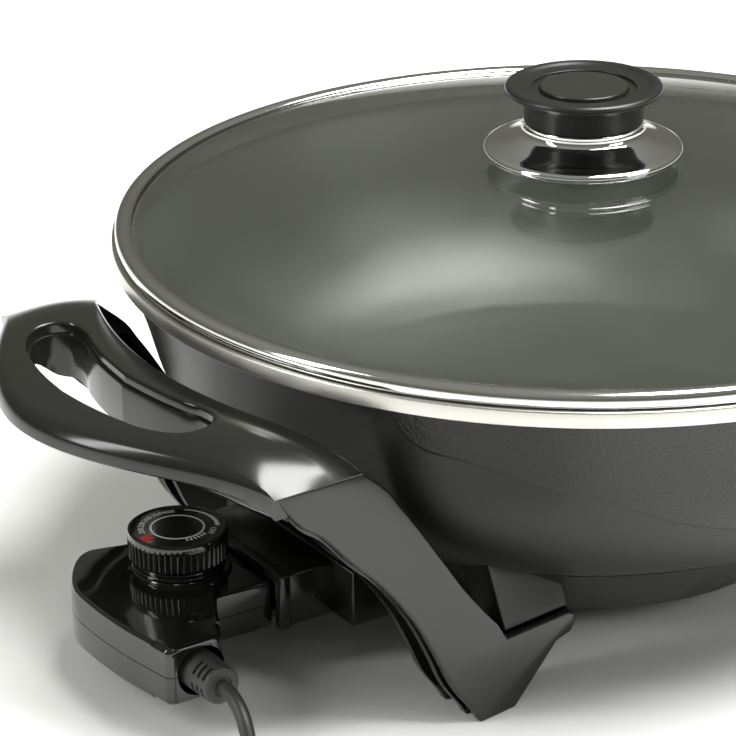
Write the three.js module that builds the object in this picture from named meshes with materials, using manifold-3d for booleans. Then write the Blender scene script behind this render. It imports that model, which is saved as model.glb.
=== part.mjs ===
// Electric skillet with a lift-off glass lid, two handle-and-leg mouldings and a plug-in heat control.
// Millimetres, +Z up. The origin is on the table under the centre of the pan; the heat control is on -X.
import * as THREE from 'three';
import { mergeVertices } from 'three/addons/utils/BufferGeometryUtils.js';
import Module from 'manifold-3d';

const wasm = await Module();
wasm.setup();

// Clearances and tolerances
const fitGap = 0.3;
const overrun = 1;
const mergeTolerance = 0.0005;

// Numbers of sides of round forms
const bowlSides = 48;
const ringSides = 28;
const smallSides = 16;
const screwSides = 8;
const cordSides = 8;

// Pan
const baseClearance = 10.3;
const housingHeight = 28.5;
const panWallHeight = 77.3;
const rimBandHeight = 5.5;
const panBaseRadius = 113.5;
const panMouthRadius = 162.5;
const rimLip = 3.7;
const rimChamfer = 0.5;
const panWall = 3.2;
const panFloor = 5;
const innerCornerInset = 2.5;
const wallShares = [[0, 0], [0.25, 0.09], [0.46, 0.21], [0.64, 0.36], [0.76, 0.52], [0.87, 0.76], [1, 1]];

// Heating element, its boss ring, its terminals and the sensor well
const elementRadius = 3.5;
const elementInset = 29.5;
const elementCover = 1.6;
const bossWidth = 18;
const elementOpening = THREE.MathUtils.degToRad(22);
const elementArcSteps = 20;
const elementSteps = 32;
const terminalSpacing = 23;
const pinRadius = 2.35;
const pinInset = 13;
const pinTip = 1;
const insulatorWall = 2.6;
const insulatorSetback = 2;
const insulatorFlange = 2;
const insulatorShoulderInset = 6.9;
const insulatorHead = 2;
const wellWidth = 13;
const wellLength = 18.5;
const wellPastRing = 0.5;

// Heater housing
const housingSheet = 1.8;
const housingTaper = 31.5;
const housingScrewInset = 24;
const postRadius = 5;
const sensorHoleGap = 0.9;

// Screws: heads, shanks and lengths
const screwHeadRadius = 3.4;
const screwHeadHeight = 2.2;
const screwRadius = 1.9;
const housingScrewLength = 14;
const legScrewLength = 16;
const shroudScrewLength = 6.5;
const caseScrewLength = 11;
const caseScrewHead = 2.7;
const caseScrewHeadHeight = 1.8;
const caseScrewRadius = 1.3;

// Handle-and-leg moulding, measured on the side of the heat control
const handleGap = 6.1;
const handleDepth = 52.7;
const handleTop = 106.5;
const outerEdgeSink = 2;
const plateThickness = 7;
const plateCrown = 4;
const edgeRound = 2.4;
const creaseDepth = 12.3;
const creaseHeight = 96.1;
const creaseRise = 1.8;
const legFaceShare = 0.7586;
const legSkin = 4;
const ribThickness = 3;
const innerRibInset = 11.1;
const ribPitch = 12;
const ribInset = 5;
const legWeb = 3.5;
const plateStations = 20;
const toeShare = 0.139;
const leanShare = 0.175;
const noseShares = [1.9, 1.33];
const shoulderPowerShare = 7;
const crownShares = [[0.08, 0.35], [0.25, 0.78], [0.5, 1], [0.75, 0.78], [0.92, 0.35]];
const legOutboardShares = [
  [1, 1], [0.951, 0.879], [0.907, 0.817], [0.854, 0.703], [0.793, 0.591], [0.729, 0.428],
  [0.687, 0.278], [0.657, 0.151], [0.618, 0.048], [0.604, 0],
];
const legInboardShares = [
  [0.54, 0.305], [0.574, 0.385], [0.608, 0.469], [0.641, 0.566], [0.673, 0.661], [0.705, 0.755],
  [0.731, 0.826], [0.758, 0.898], [0.806, 0.975],
];
const footShares = [[0.52, 0], [0.406, 0.162], [0.37, 0.176], [0.356, 0.204], [0.359, 0.236], [0.372, 0.25]];
const notchShares = [0.524, 0.25];

// Finger slot of the handle: half of its outline, from its pan side round to its outer side
const slotMiddleDepth = 23.7;
const slotWall = 3;
const slotWallDepth = 17;
const slotShares = [
  [0.832, 0], [0.828, 0.116], [0.822, 0.232], [0.813, 0.348], [0.802, 0.445], [0.804, 0.54], [0.818, 0.576],
  [0.839, 0.588], [0.858, 0.569], [0.875, 0.52], [0.892, 0.441], [0.903, 0.348], [0.913, 0.232],
  [0.919, 0.116], [0.922, 0],
];

// Pan lugs that carry the legs, and the screws through the foot arms
const lugInset = 3;
const lugDepth = 15.5;
const lugInnerShare = 0.363;
const lugOuterShare = 0.515;
const lugLean = 4;
const legScrewOutset = 0.3;
const legScrewInset = 5.1;
const legScrewSeat = 17.6;
const counterboreGap = 0.7;

// Receptacle shroud
const shroudReach = 33.5;
const shroudFlange = 4.5;
const shroudStepReach = 11.3;
const shroudBackInset = 17.5;
const shroudTop = 35.4;
const shroudBottom = 15.3;
const shroudHalfWidth = 29.2;
const shroudFlangeRise = 1.5;
const shroudWideHalfWidth = 41;
const shroudWall = 2.3;
const shroudScrewInset = 1.5;
const shroudScrewSpacing = 68;
const shroudPostRadius = 5;
const shroudPostTop = 41;

// Heat control casing
const controlAxis = 23.4;
const caseWall = 2.2;
const headHeight = 20.8;
const neckHeight = 17.8;
const noseHeight = 14.4;
const headLength = 37;
const neckPastDial = 1.7;
const neckHalfWidth = 25;
const noseHalfWidth = 22;
const noseLength = 37.5;
const noseSetback = 2;
const headCordEnd = 52;
const cordEndWall = 11;
const headPlanShares = [
  [-0.1, -0.44], [0, -0.52], [0.33, -1], [0.88, -1], [0.97, -0.58], [1, -0.3], [1, -0.1], [0.96, 0.1],
  [0.865, 0.27], [0.73, 0.41], [0.61, 0.5], [0.49, 0.535], [0.36, 0.52], [0.17, 0.48], [-0.1, 0.44],
];
const caseScrewShares = [[0.703, -0.615], [0.703, 0.096], [-0.351, 0.327]];
const caseColumnRadius = 3.9;
const caseScrewSeat = 4.4;

// Dial, bezel and spindle
const dialSetback = 21.3;
const dialRadius = 17.05;
const dialHeight = 10.2;
const dialBand = 2.8;
const dialChamfer = 0.8;
const fluteDepth = 0.7;
const fluteCount = 27;
const dialFaceRecess = 0.4;
const dialFaceRadius = 15.4;
const pedestalRadius = 15.6;
const pedestalRise = 0.5;
const bezelStep = 1.1;
const bezelStepRise = 1.1;
const bezelSteps = 3;
const shaftRadius = 3;
const shaftGrip = 6;
const shaftFlangeRadius = 5;
const shaftFlangeHeight = 1.4;

// Sensor rod, contact sleeves and thermostat
const sensorRadius = 3.2;
const sensorTail = 2.7;
const sensorTipInset = 13.5;
const sleeveWall = 0.9;
const sleeveStart = 2;
const sleeveInset = 3;
const thermostatLength = 34;
const thermostatWidth = 14;
const thermostatSheet = 1.4;
const thermostatUpstand = 12;
const stackLength = 8;
const stackWidth = 10;
const stackHeight = 8.6;
const bladeWidth = 6;
const bladeSheet = 0.6;
const bladeLength = 26;
const bladeSpacing = 3;
const bladeStart = 2;
const contactRadius = 1.6;
const contactHeight = 1;

// Strain relief and recess it stands in
const cordAxisInset = 16.5;
const reliefRecessRadius = 8.8;
const reliefRecessDepth = 9;
const reliefNeckRadius = 4.6;
const reliefFlangeRadius = 6.6;
const reliefFlange = 1.8;
const reliefRadius = 7.2;
const reliefTaper = 0.8;
const reliefBarrel = 22.3;
const reliefEndRound = 1.2;

// Lid
const lidRimSetback = 1.2;
const lidRimSheet = 0.6;
const lidRimGrip = 6;
const lidSkirtDepth = 5.5;
const lidSkirtSheet = 1.1;
const glassThickness = 2.8;
const glassGrip = 3.6;
const domeRise = 20;
const glassHoleRadius = 4.5;
const domeRings = 4;
const beadBulge = 0.5;

// Knob
const skirtRadius = 35;
const skirtWall = 1.2;
const skirtEdge = 2.8;
const skirtBaseRadius = 26;
const skirtEdgeHeight = 150.9;
const skirtRise = 5.2;
const skirtHub = 3.9;
const hubRadius = 21;
const skirtRiseShares = [[0.97, 0.04], [0.85, 0.2], [0.55, 0.5], [0.25, 0.77], [0.09, 0.9], [0.02, 1]];
const skirtThroatShare = 0.77;
const bossRadius = 9;
const knobNeckRadius = 20.9;
const knobNeckFlare = 1.4;
const knobFlangeRadius = 27.6;
const knobHeight = 12.9;
const knobFlangeHeight = 3.4;
const knobRimWidth = 4;
const knobDish = 1.2;
const capRadius = 15.4;
const capHeight = 2;
const capProud = 0.5;
const capGroove = 2.9;
const capGrooveDepth = 1;
const knobBoreDepth = 8;
const gasketRadius = 12;
const gasketHeight = 2.4;
const washerRadius = 11;
const washerHeight = 1.6;

// Cord, coil, tie and plug
const cordRadius = 2.5;
const cordSteps = 30;
const tailSteps = 14;
const coilCentre = [-197.9, -153.3];
const coilMiddle = 27.5;
const coilHalfWidth = 5;
const coilHeight = 10;
const tieSheet = 0.9;
const tieWidth = 7;
const tieAngle = THREE.MathUtils.degToRad(-20);
const plugLength = 30;
const plugWidth = 22;
const plugHeight = 13;
const plugNeck = 5;
const plugNeckLength = 8;
const plugCorner = 3;
const plugTurn = THREE.MathUtils.degToRad(-78);
const bladeReach = 17;
const bladeBreadth = 6.3;
const plugBladeSheet = 1.5;
const bladeGauge = 12.7;
const bladeSocket = 6;

// The cord's route, chosen by hand: out of the strain relief, down to the table and on to the coil
const cordRoute = [
  [-190.5, -66.1, 23.4], [-190.58, -70.24, 23], [-190.83, -74.22, 21.83], [-191.24, -77.89, 19.92],
  [-191.79, -81.11, 17.35], [-192.45, -83.76, 14.22], [-192.97, -85.44, 11.78], [-193.64, -88.09, 8.65],
  [-194.18, -91.31, 6.08], [-194.59, -94.98, 4.17], [-194.84, -98.96, 3], [-194.92, -103.09, 2.6],
  [-194.92, -106.48, 2.6], [-194.4, -111.48, 2.62], [-192.84, -116.26, 2.7], [-190.33, -120.61, 2.9],
  [-186.97, -124.35, 3.3], [-182.9, -127.3, 3.5],
];
const tailRoute = [
  [-197.9, -123.3, 8.9], [-184.9, -122.2, 8.6], [-171.9, -123.5, 8], [-159.9, -127.5, 7.3],
  [-151.9, -133.1, 6.8], [-148, -139.9, 6.5], [-146.6, -146.5, 6.5],
];

// Heights that follow from the sizes above
const panBottom = baseClearance + housingHeight;
const bandBottom = panBottom + panWallHeight;
const bandTop = bandBottom + rimBandHeight;
const bandRadius = panMouthRadius + rimLip;
const rimInner = panMouthRadius - panWall;
const floorTop = panBottom + panFloor;
const elementHeight = panBottom - elementRadius - fitGap;
const bossBottom = elementHeight - elementRadius - fitGap - elementCover;

// Reaches from the pan's axis that follow from the sizes above
const elementRing = panBaseRadius - elementInset;
const elementEnd = elementRing;
const wellOuter = elementRing + wellPastRing;
const wellInner = wellOuter - wellLength;
const housingFloorRadius = panBaseRadius - housingTaper;
const housingScrewCircle = housingFloorRadius - housingScrewInset;
const insulatorStart = elementEnd + insulatorSetback;
const insulatorShoulder = panBaseRadius - insulatorShoulderInset;
const insulatorEnd = insulatorShoulder + insulatorHead;
const shroudFront = panBaseRadius + shroudReach;
const shroudStep = panBaseRadius + shroudStepReach;
const shroudBack = panBaseRadius - shroudBackInset;
const shroudScrewReach = panBaseRadius - shroudScrewInset;
const pinReach = shroudFront - pinInset;
const legFace = legFaceShare * panBaseRadius;
const innerRib = legFace - innerRibInset;
const middleRib = innerRib + ribPitch;
const legScrewAcross = legFace - legScrewInset;
const legScrewReach = Math.sqrt((panBaseRadius + legScrewOutset) ** 2 - legScrewAcross ** 2);
const lidRimRadius = bandRadius - lidRimSetback;
const plateInner = bandRadius + handleGap;
const handleReach = plateInner + handleDepth;
const creaseOuterReach = plateInner + creaseDepth;
const slotMiddle = plateInner + slotMiddleDepth;
const creaseInnerReach = Math.sqrt(plateInner ** 2 - legFace ** 2);
const lugInner = lugInnerShare * creaseOuterReach;
const lugOuter = lugOuterShare * creaseOuterReach;
const noseBack = shroudFront + noseSetback;
const noseFront = noseBack - noseLength;
const sleeveFront = noseFront + sleeveStart;
const sleeveBack = noseBack - sleeveInset;
const sensorBack = noseBack + sensorTail;
const sensorTip = elementRing - sensorTipInset;
const dialReach = shroudFront + dialSetback;
const neckEnd = dialReach + neckPastDial;
const headReach = neckEnd + headLength;
const cordAxisReach = headReach - cordAxisInset;

// A closed mesh of one geometry: shared corners are merged, collapsed faces dropped, faces turned outward.
function solidOf(geometry) {
  geometry.deleteAttribute('normal');
  geometry.deleteAttribute('uv');
  const merged = mergeVertices(geometry, mergeTolerance);
  const places = merged.attributes.position.array;
  const corners = [];
  let volume = 0;
  for (let i = 0; i < merged.index.count; i += 3) {
    const [a, b, c] = [0, 1, 2].map((k) => merged.index.getX(i + k));
    if (a === b || b === c || a === c) continue;
    corners.push(a, b, c);
    const [p, q, r] = [a, b, c].map((k) => new THREE.Vector3().fromArray(places, 3 * k));
    volume += p.dot(q.cross(r));
  }
  if (volume < 0) corners.reverse();
  const mesh = new wasm.Mesh({
    numProp: 3,
    vertProperties: new Float32Array(places),
    triVerts: new Uint32Array(corners),
  });
  return new wasm.Manifold(mesh);
}

// A form turned about the vertical axis, from [radius, height] points.
function turned(profile, sides) {
  const points = profile.map(([radius, height]) => new THREE.Vector2(radius, height));
  return new THREE.LatheGeometry(points, sides).rotateX(Math.PI / 2);
}

// A turned ring or disc: the profile closes on itself.
function turnedRing(profile, sides) {
  return solidOf(turned([...profile, profile[0]], sides));
}

// A flat outline in x and y raised from one height to another.
function raised(outline, low, high) {
  const shape = new THREE.Shape(outline.map(([x, y]) => new THREE.Vector2(x, y)));
  const geometry = new THREE.ExtrudeGeometry(shape, { depth: high - low, bevelEnabled: false });
  return solidOf(geometry.translate(0, 0, low));
}

function block([x0, y0, z0], [x1, y1, z1]) {
  const geometry = new THREE.BoxGeometry(x1 - x0, y1 - y0, z1 - z0);
  return solidOf(geometry.translate((x0 + x1) / 2, (y0 + y1) / 2, (z0 + z1) / 2));
}

function upright(radius, [x, y], low, high, sides = smallSides) {
  const geometry = new THREE.CylinderGeometry(radius, radius, high - low, sides).rotateX(Math.PI / 2);
  return solidOf(geometry.translate(x, y, (low + high) / 2));
}

// A round bar or hole along X between two distances from the pan's axis, on the side of the heat control.
function lengthwise(radius, y, z, near, far, sides = smallSides) {
  const geometry = new THREE.CylinderGeometry(radius, radius, far - near, sides).rotateZ(Math.PI / 2);
  return solidOf(geometry.translate(-(near + far) / 2, y, z));
}

// A turned piece laid along X towards the heat control, from [radius, reach] points.
function turnedLengthwise(profile, y, z, sides) {
  const geometry = turned([...profile, profile[0]], sides).rotateY(-Math.PI / 2);
  return solidOf(geometry.translate(0, y, z));
}

// A round bar that follows a smooth curve through points.
function bar(points, radius, sides, steps) {
  const section = new THREE.Shape();
  for (let i = 0; i < sides; i += 1) {
    const angle = (2 * Math.PI * i) / sides;
    const corner = [radius * Math.cos(angle), radius * Math.sin(angle)];
    if (i === 0) section.moveTo(...corner);
    else section.lineTo(...corner);
  }
  section.closePath();
  const extrudePath = new THREE.CatmullRomCurve3(points.map((p) => new THREE.Vector3(...p)));
  return solidOf(new THREE.ExtrudeGeometry(section, { steps, bevelEnabled: false, extrudePath }));
}

// An outline drawn back from each edge by a distance; the outline may run either way round.
function insetOutline(outline, distance) {
  const count = outline.length;
  let area = 0;
  outline.forEach(([x, y], i) => {
    const [u, v] = outline[(i + 1) % count];
    area += x * v - u * y;
  });
  const turn = Math.sign(area);
  return outline.map((point, i) => {
    const before = new THREE.Vector2(...outline[(i + count - 1) % count]);
    const here = new THREE.Vector2(...point);
    const after = new THREE.Vector2(...outline[(i + 1) % count]);
    const come = here.clone().sub(before).normalize();
    const go = after.sub(here).normalize();
    const inward = new THREE.Vector2(-(come.y + go.y), come.x + go.x).multiplyScalar(turn).normalize();
    const lean = inward.dot(new THREE.Vector2(-come.y, come.x).multiplyScalar(turn));
    return here.addScaledVector(inward, distance / lean).toArray();
  });
}

const group = new THREE.Group();

const finishes = {
  castPan: { color: 0x3b3a35, roughness: 0.5, metalness: 0.5 },
  darkSheet: { color: 0x1f1f1c, roughness: 0.6, metalness: 0.4 },
  phenolic: { color: 0x141414, roughness: 0.3, metalness: 0 },
  glossBlack: { color: 0x0a0a0a, roughness: 0.12, metalness: 0 },
  polished: { color: 0xd8d8d6, roughness: 0.1, metalness: 1 },
  steel: { color: 0x9d9d9a, roughness: 0.35, metalness: 1 },
  glass: { color: 0xc4ccc4, roughness: 0.05, metalness: 0 },
  ceramic: { color: 0xe7e2d4, roughness: 0.5, metalness: 0 },
  brass: { color: 0xb28f46, roughness: 0.35, metalness: 1 },
  silicone: { color: 0x4a4a48, roughness: 0.8, metalness: 0 },
  rubber: { color: 0x1b1b1b, roughness: 0.75, metalness: 0 },
};

function add(name, solid, finish) {
  const { vertProperties, triVerts } = solid.getMesh();
  const geometry = new THREE.BufferGeometry();
  geometry.setAttribute('position', new THREE.BufferAttribute(vertProperties, 3));
  geometry.setIndex(new THREE.BufferAttribute(triVerts, 1));
  const mesh = new THREE.Mesh(geometry, new THREE.MeshStandardMaterial(finishes[finish]));
  mesh.name = name;
  group.add(mesh);
}

// A screw pointing up, its head's underside at the given height.
function screw([x, y], seat, length, head, headHeight, radius) {
  const profile = [[0, seat - headHeight], [head, seat - headHeight], [head, seat], [radius, seat]];
  const solid = turned([...profile, [radius, seat + length], [0, seat + length]], screwSides);
  return solidOf(solid.translate(x, y, 0));
}

// The pan's wall between a foot radius and a mouth radius, from its foot up.
function wallCurve(footRadius, mouthRadius, low, high) {
  return wallShares.map(([across, up]) => [
    footRadius + across * (mouthRadius - footRadius),
    low + up * (high - low),
  ]);
}

// Everything the pan takes up, grown by a gap, and the space inside it.
function panEnvelope(gap) {
  const wall = wallCurve(panBaseRadius, panMouthRadius, panBottom, bandBottom);
  const grown = wall.map(([radius, height]) => [radius + gap, height - gap]);
  const band = [[bandRadius + gap, bandBottom - gap], [bandRadius + gap, bandTop + gap]];
  return solidOf(turned([[0, panBottom - gap], ...grown, ...band, [0, bandTop + gap]], bowlSides));
}

const innerWall = wallCurve(panBaseRadius - innerCornerInset, rimInner, floorTop, bandBottom)
  .filter((_, i) => i % 2 === 0);
const panSpace = solidOf(turned(
  [[0, floorTop], ...innerWall, [rimInner, bandTop + overrun], [0, bandTop + overrun]],
  bowlSides,
));

// The heater housing's outer form, grown by a gap.
function housingEnvelope(gap) {
  const profile = [
    [0, baseClearance - gap],
    [housingFloorRadius + 2 * gap, baseClearance - gap],
    [panBaseRadius + 2 * gap, panBottom],
    [0, panBottom],
  ];
  return solidOf(turned(profile, bowlSides));
}

// The leg's outer face: its distance from the middle plane at a reach and a height.
function legFaceAt(reach, height) {
  return legFace + toeShare * (reach - creaseInnerReach) + leanShare * (creaseHeight - height);
}

// A slab of the leg: an outline of [reach, height] points, between two depths behind the outer face.
function legSlab(outline, nearDepth, farDepth, endSign, sideSign) {
  const shape = new THREE.Shape(outline.map(([reach, height]) => new THREE.Vector2(reach, height)));
  const geometry = new THREE.ExtrudeGeometry(shape, { depth: farDepth - nearDepth, bevelEnabled: false });
  const places = geometry.attributes.position;
  for (let i = 0; i < places.count; i += 1) {
    const reach = places.getX(i);
    const height = places.getY(i);
    const depth = nearDepth + places.getZ(i);
    places.setXYZ(i, endSign * reach, sideSign * (legFaceAt(reach, height) - depth), height);
  }
  return solidOf(geometry);
}

// An upright slab of the leg between two distances from the middle plane.
function legPrism(outline, near, far, endSign, sideSign) {
  const shape = new THREE.Shape(outline.map(([reach, height]) => new THREE.Vector2(reach, height)));
  const geometry = new THREE.ExtrudeGeometry(shape, { depth: far - near, bevelEnabled: false });
  const places = geometry.attributes.position;
  for (let i = 0; i < places.count; i += 1) {
    places.setXYZ(i, endSign * places.getX(i), sideSign * (near + places.getZ(i)), places.getY(i));
  }
  return solidOf(geometry);
}

const legHeight = creaseHeight + creaseRise;
const legPoints = (shares) => shares.map(([out, up]) => [out * creaseOuterReach, up * legHeight]);
const armTop = notchShares[1] * legHeight;
const lugBottom = armTop + fitGap;

// Places of the screws under the pan
const housingScrewPlaces = [1, 3, 5, 7].map((eighth) => [
  housingScrewCircle * Math.cos((eighth * Math.PI) / 4),
  housingScrewCircle * Math.sin((eighth * Math.PI) / 4),
]);
const shroudScrewPlaces = [-1, 1].map((side) => [-shroudScrewReach, (side * shroudScrewSpacing) / 2]);
function legScrewPlace(endSign, sideSign) {
  return [endSign * legScrewReach, sideSign * legScrewAcross];
}

// Pan: bowl, boss ring round the element, screw posts, sensor well and the lugs for the legs
function elementRoute() {
  const half = terminalSpacing / 2;
  const lead = [
    [-elementEnd, -half, controlAxis],
    [-elementEnd + elementRadius / 2, -half, controlAxis],
    [-elementEnd + elementRadius, -half, controlAxis],
    [-elementEnd + elementRadius * 2, -half, controlAxis + elementRadius],
    [-elementEnd + elementRadius * 2, -half - elementRadius, controlAxis + elementRadius * 2],
  ];
  const ring = [];
  for (let i = 0; i <= elementArcSteps; i += 1) {
    const sweep = 2 * (Math.PI - elementOpening);
    const angle = Math.PI + elementOpening + (sweep * i) / elementArcSteps;
    ring.push([elementRing * Math.cos(angle), elementRing * Math.sin(angle), elementHeight]);
  }
  const back = lead.map(([x, y, z]) => [x, -y, z]).reverse();
  return [...lead, ...ring, ...back];
}

function buildPan() {
  const outerWall = wallCurve(panBaseRadius, panMouthRadius, panBottom, bandBottom);
  const bossInner = elementRing - bossWidth / 2;
  const bossOuter = elementRing + bossWidth / 2;
  const under = [
    [0, panBottom], [bossInner, panBottom], [bossInner, bossBottom], [bossOuter, bossBottom],
    [bossOuter, panBottom],
  ];
  const rim = [
    [bandRadius, bandBottom], [bandRadius, bandTop - rimChamfer], [bandRadius - rimChamfer, bandTop],
    [rimInner, bandTop],
  ];
  const inside = [...innerWall].reverse();
  let pan = solidOf(turned([...under, ...outerWall, ...rim, ...inside, [0, floorTop]], bowlSides));

  const lugTop = panBottom + panWallHeight / 4;
  const lugOutline = [
    [lugInner, lugBottom], [lugOuter, lugBottom], [lugOuter + lugLean, lugTop], [lugInner, lugTop],
  ];
  for (const endSign of [-1, 1]) {
    for (const sideSign of [-1, 1]) {
      let lug = legSlab(lugOutline, lugInset, lugInset + lugDepth, endSign, sideSign);
      lug = lug.subtract(panSpace).subtract(housingEnvelope(fitGap));
      const bore = upright(
        screwRadius + fitGap, legScrewPlace(endSign, sideSign), lugBottom - overrun,
        legScrewSeat + legScrewLength + fitGap,
      );
      pan = pan.add(lug).subtract(bore);
    }
  }

  const postBottom = baseClearance + housingSheet + fitGap;
  for (const place of housingScrewPlaces) {
    const post = upright(postRadius, place, postBottom, panBottom + panFloor / 2);
    const boreTop = baseClearance + housingScrewLength + fitGap;
    pan = pan.add(post).subtract(upright(screwRadius + fitGap, place, postBottom - overrun, boreTop));
  }

  for (const place of shroudScrewPlaces) {
    const solid = upright(shroudPostRadius, place, shroudTop + fitGap, shroudPostTop);
    const post = solid.subtract(panSpace).subtract(housingEnvelope(fitGap));
    const boreTop = shroudTop - shroudWall + shroudScrewLength + fitGap;
    pan = pan.add(post).subtract(upright(screwRadius + fitGap, place, shroudTop, boreTop));
  }

  const well = block(
    [-wellOuter, -wellWidth / 2, controlAxis - wellWidth / 2],
    [-wellInner, wellWidth / 2, panBottom + panFloor / 2],
  );
  const wellBore = lengthwise(sensorRadius + fitGap, 0, controlAxis, sensorTip - fitGap, wellOuter + overrun);
  const channel = bar(elementRoute(), elementRadius + fitGap, cordSides, elementSteps);
  return pan.add(well).subtract(wellBore).subtract(channel);
}

add('pan', buildPan(), 'castPan');
add('heating_element', bar(elementRoute(), elementRadius, cordSides, elementSteps), 'steel');

// Heater housing, a dished cover with holes for its screws, the two insulators and the sensor rod
function buildHousing() {
  const top = panBottom - fitGap;
  let housing = solidOf(turned([
    [0, baseClearance],
    [housingFloorRadius, baseClearance],
    [panBaseRadius, top],
    [panBaseRadius - housingSheet, top],
    [housingFloorRadius - housingSheet, baseClearance + housingSheet],
    [0, baseClearance + housingSheet],
  ], bowlSides));
  for (const place of housingScrewPlaces) {
    const holeTop = baseClearance + housingSheet + overrun;
    const hole = upright(screwRadius + fitGap, place, baseClearance - overrun, holeTop, screwSides);
    housing = housing.subtract(hole);
  }
  for (const y of [-terminalSpacing / 2, terminalSpacing / 2]) {
    const radius = pinRadius + insulatorWall + 2 * fitGap;
    housing = housing.subtract(lengthwise(radius, y, controlAxis, housingFloorRadius / 2, panBaseRadius));
  }
  const sensorHole = sensorRadius + sensorHoleGap;
  return housing.subtract(lengthwise(sensorHole, 0, controlAxis, housingFloorRadius / 2, panBaseRadius));
}

add('heater_housing', buildHousing(), 'darkSheet');
housingScrewPlaces.forEach((place, i) => {
  const seat = baseClearance - fitGap;
  const solid = screw(place, seat, housingScrewLength, screwHeadRadius, screwHeadHeight, screwRadius);
  add(`housing_screw_${i + 1}`, solid, 'steel');
});

// Terminal pins and their ceramic insulators
for (const [label, sign] of [['left', -1], ['right', 1]]) {
  const y = (sign * terminalSpacing) / 2;
  const start = elementEnd + fitGap;
  const pin = [
    [0, start], [pinRadius, start], [pinRadius, pinReach - pinTip], [pinRadius - pinTip, pinReach],
    [0, pinReach],
  ];
  add(`terminal_pin_${label}`, turnedLengthwise(pin, y, controlAxis, screwSides), 'steel');
  const bore = pinRadius + fitGap;
  const outside = bore + insulatorWall;
  const bush = [
    [bore, insulatorStart], [outside, insulatorStart], [outside, insulatorShoulder],
    [outside + insulatorFlange, insulatorShoulder], [outside + insulatorFlange, insulatorEnd],
    [bore, insulatorEnd],
  ];
  add(`terminal_insulator_${label}`, turnedLengthwise(bush, y, controlAxis, smallSides), 'ceramic');
}

// Receptacle shroud, open below and at both ends, with a raised front flange and a wider rear
function buildShroud() {
  const front = shroudFront - shroudFlange;
  const across = shroudHalfWidth + shroudFlangeRise;
  let shroud = block([-shroudFront, -across, shroudBottom], [-front, across, shroudTop]);
  shroud = shroud.add(block(
    [-front - overrun, -shroudHalfWidth, shroudBottom],
    [-shroudStep + overrun, shroudHalfWidth, shroudTop - shroudFlangeRise / 2],
  ));
  shroud = shroud.add(block(
    [-shroudStep, -shroudWideHalfWidth, shroudBottom],
    [-shroudBack, shroudWideHalfWidth, shroudTop],
  ));
  const inside = shroudHalfWidth - shroudWall;
  const ceiling = shroudTop - shroudWall;
  shroud = shroud.subtract(block(
    [-shroudFront - overrun, -inside, shroudBottom - overrun],
    [-shroudBack + overrun, inside, ceiling],
  ));
  const wideInside = shroudWideHalfWidth - shroudWall;
  shroud = shroud.subtract(block(
    [-shroudStep + shroudWall, -wideInside, shroudBottom - overrun],
    [-shroudBack + overrun, wideInside, ceiling],
  ));
  for (const place of shroudScrewPlaces) {
    const hole = upright(screwRadius + fitGap, place, ceiling - overrun, shroudTop + overrun, screwSides);
    shroud = shroud.subtract(hole);
  }
  return shroud.subtract(housingEnvelope(fitGap)).subtract(panEnvelope(fitGap));
}

add('receptacle_shroud', buildShroud(), 'phenolic');
shroudScrewPlaces.forEach((place, i) => {
  const seat = shroudTop - shroudWall - fitGap;
  const solid = screw(place, seat, shroudScrewLength, screwHeadRadius, screwHeadHeight, screwRadius);
  add(`shroud_screw_${i === 0 ? 'left' : 'right'}`, solid, 'steel');
});

// Handle-and-leg moulding: an arched top plate with a finger slot, and a ribbed leg at each end
function plateStation(along) {
  const rise = Math.abs(along) ** shoulderPowerShare;
  const innerSide = along * legFace;
  const outerSide = along * legFaceAt(creaseOuterReach, legHeight);
  const [nose, flank] = noseShares;
  const reach = (handleReach - creaseOuterReach) * (1 - Math.abs(along) ** nose) ** flank;
  const inner = [Math.sqrt(plateInner ** 2 - innerSide ** 2), innerSide];
  const outer = [creaseOuterReach + reach, outerSide];
  const innerTop = handleTop - (handleTop - creaseHeight) * rise;
  const outerTop = handleTop - outerEdgeSink - (handleTop - outerEdgeSink - legHeight) * rise;
  const width = Math.hypot(outer[0] - inner[0], outer[1] - inner[1]);
  const at = (distance, sink) => {
    const share = distance / width;
    return [
      inner[0] + share * (outer[0] - inner[0]),
      inner[1] + share * (outer[1] - inner[1]),
      innerTop + share * (outerTop - innerTop) - sink,
    ];
  };
  const crown = crownShares.map(([across, up]) => at(across * width, -up * plateCrown * (1 - rise)));
  return [
    at(0, plateThickness), at(0, edgeRound), at(edgeRound / 3, edgeRound / 3), ...crown,
    at(width - edgeRound / 3, edgeRound / 3), at(width, edgeRound), at(width, plateThickness),
  ];
}

function buildPlate(endSign) {
  const places = [];
  const corners = [];
  const rounds = plateStation(0).length;
  for (let i = 0; i <= plateStations; i += 1) {
    const station = plateStation((2 * i) / plateStations - 1);
    station.forEach(([reach, y, z]) => places.push(endSign * reach, y, z));
  }
  for (let i = 0; i < plateStations; i += 1) {
    for (let k = 0; k < rounds; k += 1) {
      const a = i * rounds + k;
      const b = i * rounds + ((k + 1) % rounds);
      corners.push(a, b, b + rounds, a, b + rounds, a + rounds);
    }
  }
  const last = plateStations * rounds;
  for (let k = 1; k < rounds - 1; k += 1) {
    corners.push(0, k + 1, k, last, last + k, last + k + 1);
  }
  const geometry = new THREE.BufferGeometry();
  geometry.setAttribute('position', new THREE.Float32BufferAttribute(places, 3));
  geometry.setIndex(corners);
  return solidOf(geometry);
}

// The finger slot's outline, the same on both sides of the middle, grown by a margin.
function slotOutline(endSign, margin) {
  const half = slotShares.map(([out, across]) => [endSign * out * handleReach, across * legFace]);
  const other = half.slice(1, -1).map(([x, y]) => [x, -y]).reverse();
  return insetOutline([...half, ...other], -margin);
}

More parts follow.
